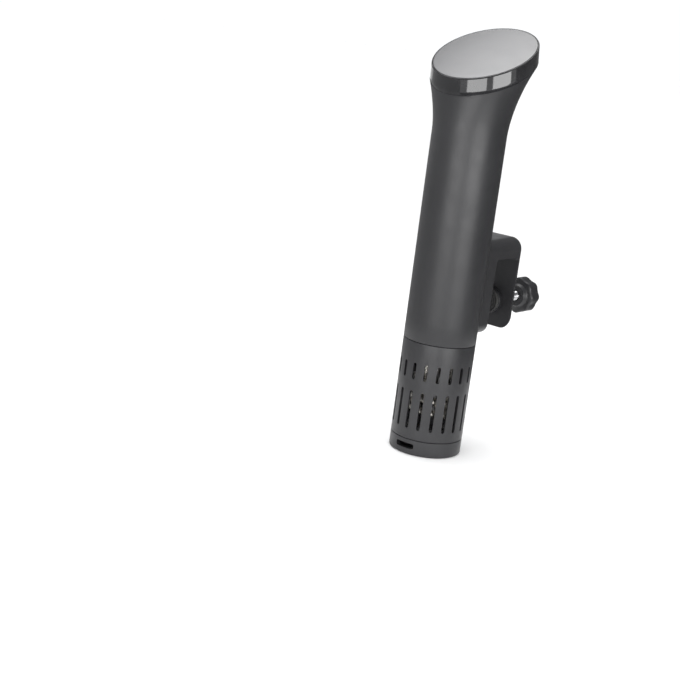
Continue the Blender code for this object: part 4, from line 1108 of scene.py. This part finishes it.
def aimed(obj, place, target):
    obj.location = place
    obj.rotation_mode = "QUATERNION"
    obj.rotation_quaternion = (Vector(target) - Vector(place)).to_track_quat("-Z", "Y")
    bpy.context.scene.collection.objects.link(obj)
    return obj


def soft_light(name, place, target, across, tall, power, shape="RECTANGLE"):
    lamp = bpy.data.lights.new(name, "AREA")
    lamp.shape = shape
    lamp.size = across
    lamp.size_y = tall
    lamp.energy = power
    made = bpy.data.objects.new(name, lamp)
    made.visible_camera = False
    return aimed(made, place, target)


class CIRC_OT_studio(bpy.types.Operator):
    """Pale floor, even room light, soft lamps and the camera"""

    bl_idname = "circulator.studio"
    bl_label = "Studio"

    def execute(self, context):
        self.floor(context)
        self.room(context)
        self.lamps()
        self.flags()
        self.camera(context)
        return {"FINISHED"}

    def floor(self, context):
        reach = 60.0
        pale = tuple(context.scene.circ_studio.floor_colour)
        points = [(-reach, -reach, 0), (reach, -reach, 0), (reach, reach, 0), (-reach, reach, 0)]
        floor = mesh_object("studio_floor", points, [(0, 1, 2, 3)])
        paper = Finish("floor_paper", pale, 0.75).mottled(0.2, shade(pale, 0.985))
        floor.data.materials.append(paper.material)
        floor.location.z = CAD_BOX[0].z - 0.0002
        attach(floor, SKIRT)

    def room(self, context):
        """Even light, brighter low round the horizon and on a tall panel behind the piece."""
        world = bpy.data.worlds.new("studio_room")
        world.use_nodes = True
        nodes, links = world.node_tree.nodes, world.node_tree.links
        back = nodes["Background"]
        back.inputs["Color"].default_value = (0.97, 0.98, 1.0, 1.0)
        ways = nodes.new("ShaderNodeTexCoord")
        behind = nodes.new("ShaderNodeVectorMath")
        behind.operation = "DOT_PRODUCT"
        behind.inputs[1].default_value = (-0.561, 0.828, 0.0)
        links.new(ways.outputs["Generated"], behind.inputs[0])
        height = nodes.new("ShaderNodeSeparateXYZ")
        links.new(ways.outputs["Generated"], height.inputs["Vector"])

        def ramp(source, *limits):
            made = map_range(nodes, *limits)
            links.new(source, made.inputs["Value"])
            return made.outputs["Result"]

        def combined(operation, first, second):
            made = nodes.new("ShaderNodeMath")
            made.operation = operation
            links.new(first, made.inputs[0])
            links.new(second, made.inputs[1])
            return made.outputs["Value"]

        across = ramp(behind.outputs["Value"], 0.86, 0.95, 0.0, 1.0)
        tall = ramp(height.outputs["Z"], 0.25, 0.5, 1.0, 0.0)
        round_horizon = ramp(height.outputs["Z"], 0.1, 0.2, 1.0, 0.0)
        bright = combined("MAXIMUM", combined("MULTIPLY", across, tall), round_horizon)
        studio = context.scene.circ_studio
        strength = ramp(bright, 0.0, 1.0, studio.room_light, studio.backdrop_light)
        links.new(strength, back.inputs["Strength"])
        context.scene.world = world
        context.scene.view_settings.view_transform = "Standard"

    def lamps(self):
        head = head_centre()
        wide = bpy.data.lights.new("ceiling", "SUN")
        wide.energy = 3.0
        wide.angle = math.radians(55)
        ceiling = aimed(bpy.data.objects.new("ceiling", wide), (0, 0, 2), (0, 0, 0))
        ceiling.visible_glossy = False
        away, height = 0.8, 0.19
        for name, turn, power in (("window_left", 14.5, 3.1), ("window_right", 66.5, 3.8)):
            turn = math.radians(turn)
            place = Vector((away * math.sin(turn), -away * math.cos(turn), height))
            soft_light(name, place, (0, 0, height), 0.57, 0.28, power)
        above = head + Vector((-0.165, 0.085, 0.44))
        soft_light("overhead", above, head, 0.4, 0.4, 1.62, "DISK")

    def flags(self):
        """Cards seen only in reflections: a dark one at the right, one in front, a grey one at the left."""
        steps, lift = 24, 0.001
        for name, start, end, inner, outer, height, grey in (
            ("side_flag", 98, 206, 0.5, 0.5, 0.4, 0.10),
            ("front_flag", -20, 206, 0.26, 0.78, 0.0, 0.08),
            ("left_flag", -150, -20, 0.26, 4.0, 0.0, 0.36),
        ):
            points = [(x, y, lift) for x, y in arc(inner, start - 90, end - 90, steps)]
            points += [(x, y, lift + height) for x, y in arc(outer, start - 90, end - 90, steps)]
            faces = [(i, i + 1, i + steps + 2, i + steps + 1) for i in range(steps)]
            card = mesh_object(name, points, faces)
            paper = Finish(name + "_paper", (grey,) * 3, 0.8).mottled(0.05, (grey * 0.95,) * 3)
            card.data.materials.append(paper.material)
            card.visible_camera = False
            card.visible_diffuse = False
            card.visible_shadow = False

    def camera(self, context):
        lens = bpy.data.cameras.new("studio_camera")
        lens.lens = 68.717
        lens.sensor_width = 36.0
        lens.clip_start = 0.01
        lens.clip_end = 20.0
        camera = bpy.data.objects.new("studio_camera", lens)
        context.scene.collection.objects.link(camera)
        place = Vector((0.548446, -0.809260, 0.315767))
        forward = Vector((-0.60595781, 0.75913579, -0.23775613)).normalized()
        up = Vector((-0.24391088, 0.10717871, 0.96385694))
        right = forward.cross(up).normalized()
        up = right.cross(forward).normalized()
        turn = Matrix((right, up, -forward)).transposed()
        camera.matrix_world = Matrix.Translation(place) @ turn.to_4x4()
        context.scene.camera = camera


# ---------------- panel and registration

OPERATORS = [
    CIRC_OT_studio,
    CIRC_OT_casing,
    CIRC_OT_band,
    CIRC_OT_panel,
    CIRC_OT_skirt,
    CIRC_OT_foot,
    CIRC_OT_heater,
    CIRC_OT_impeller,
    CIRC_OT_wet_fittings,
    CIRC_OT_clamp_frame,
    CIRC_OT_clamp_screw,
    CIRC_OT_clamp_pads,
    CIRC_OT_cord_gland,
    CIRC_OT_inner_parts,
]


class CIRC_PT_sidebar(bpy.types.Panel):
    """Sizes, colours and building steps of the circulator"""

    bl_idname = "CIRC_PT_sidebar"
    bl_label = "Immersion circulator"
    bl_space_type = "VIEW_3D"
    bl_region_type = "UI"
    bl_category = "Circulator"

    def draw(self, context):
        for name, group in SETTINGS.items():
            box = self.layout.box()
            box.label(text=group.__name__.replace("Settings", ""))
            for prop in group.__annotations__:
                box.prop(getattr(context.scene, name), prop)
        for operator in OPERATORS:
            self.layout.operator(operator.bl_idname)


def register():
    for group in SETTINGS.values():
        bpy.utils.register_class(group)
    for name, group in SETTINGS.items():
        setattr(bpy.types.Scene, name, PointerProperty(type=group))
    for operator in OPERATORS:
        bpy.utils.register_class(operator)
    bpy.utils.register_class(CIRC_PT_sidebar)


def unregister():
    bpy.utils.unregister_class(CIRC_PT_sidebar)
    for operator in reversed(OPERATORS):
        bpy.utils.unregister_class(operator)
    for name, group in reversed(SETTINGS.items()):
        delattr(bpy.types.Scene, name)
        bpy.utils.unregister_class(group)


def main():
    register()
    for operator in OPERATORS:
        group, name = operator.bl_idname.split(".")
        getattr(getattr(bpy.ops, group), name)()


if __name__ == "__main__":
    main()
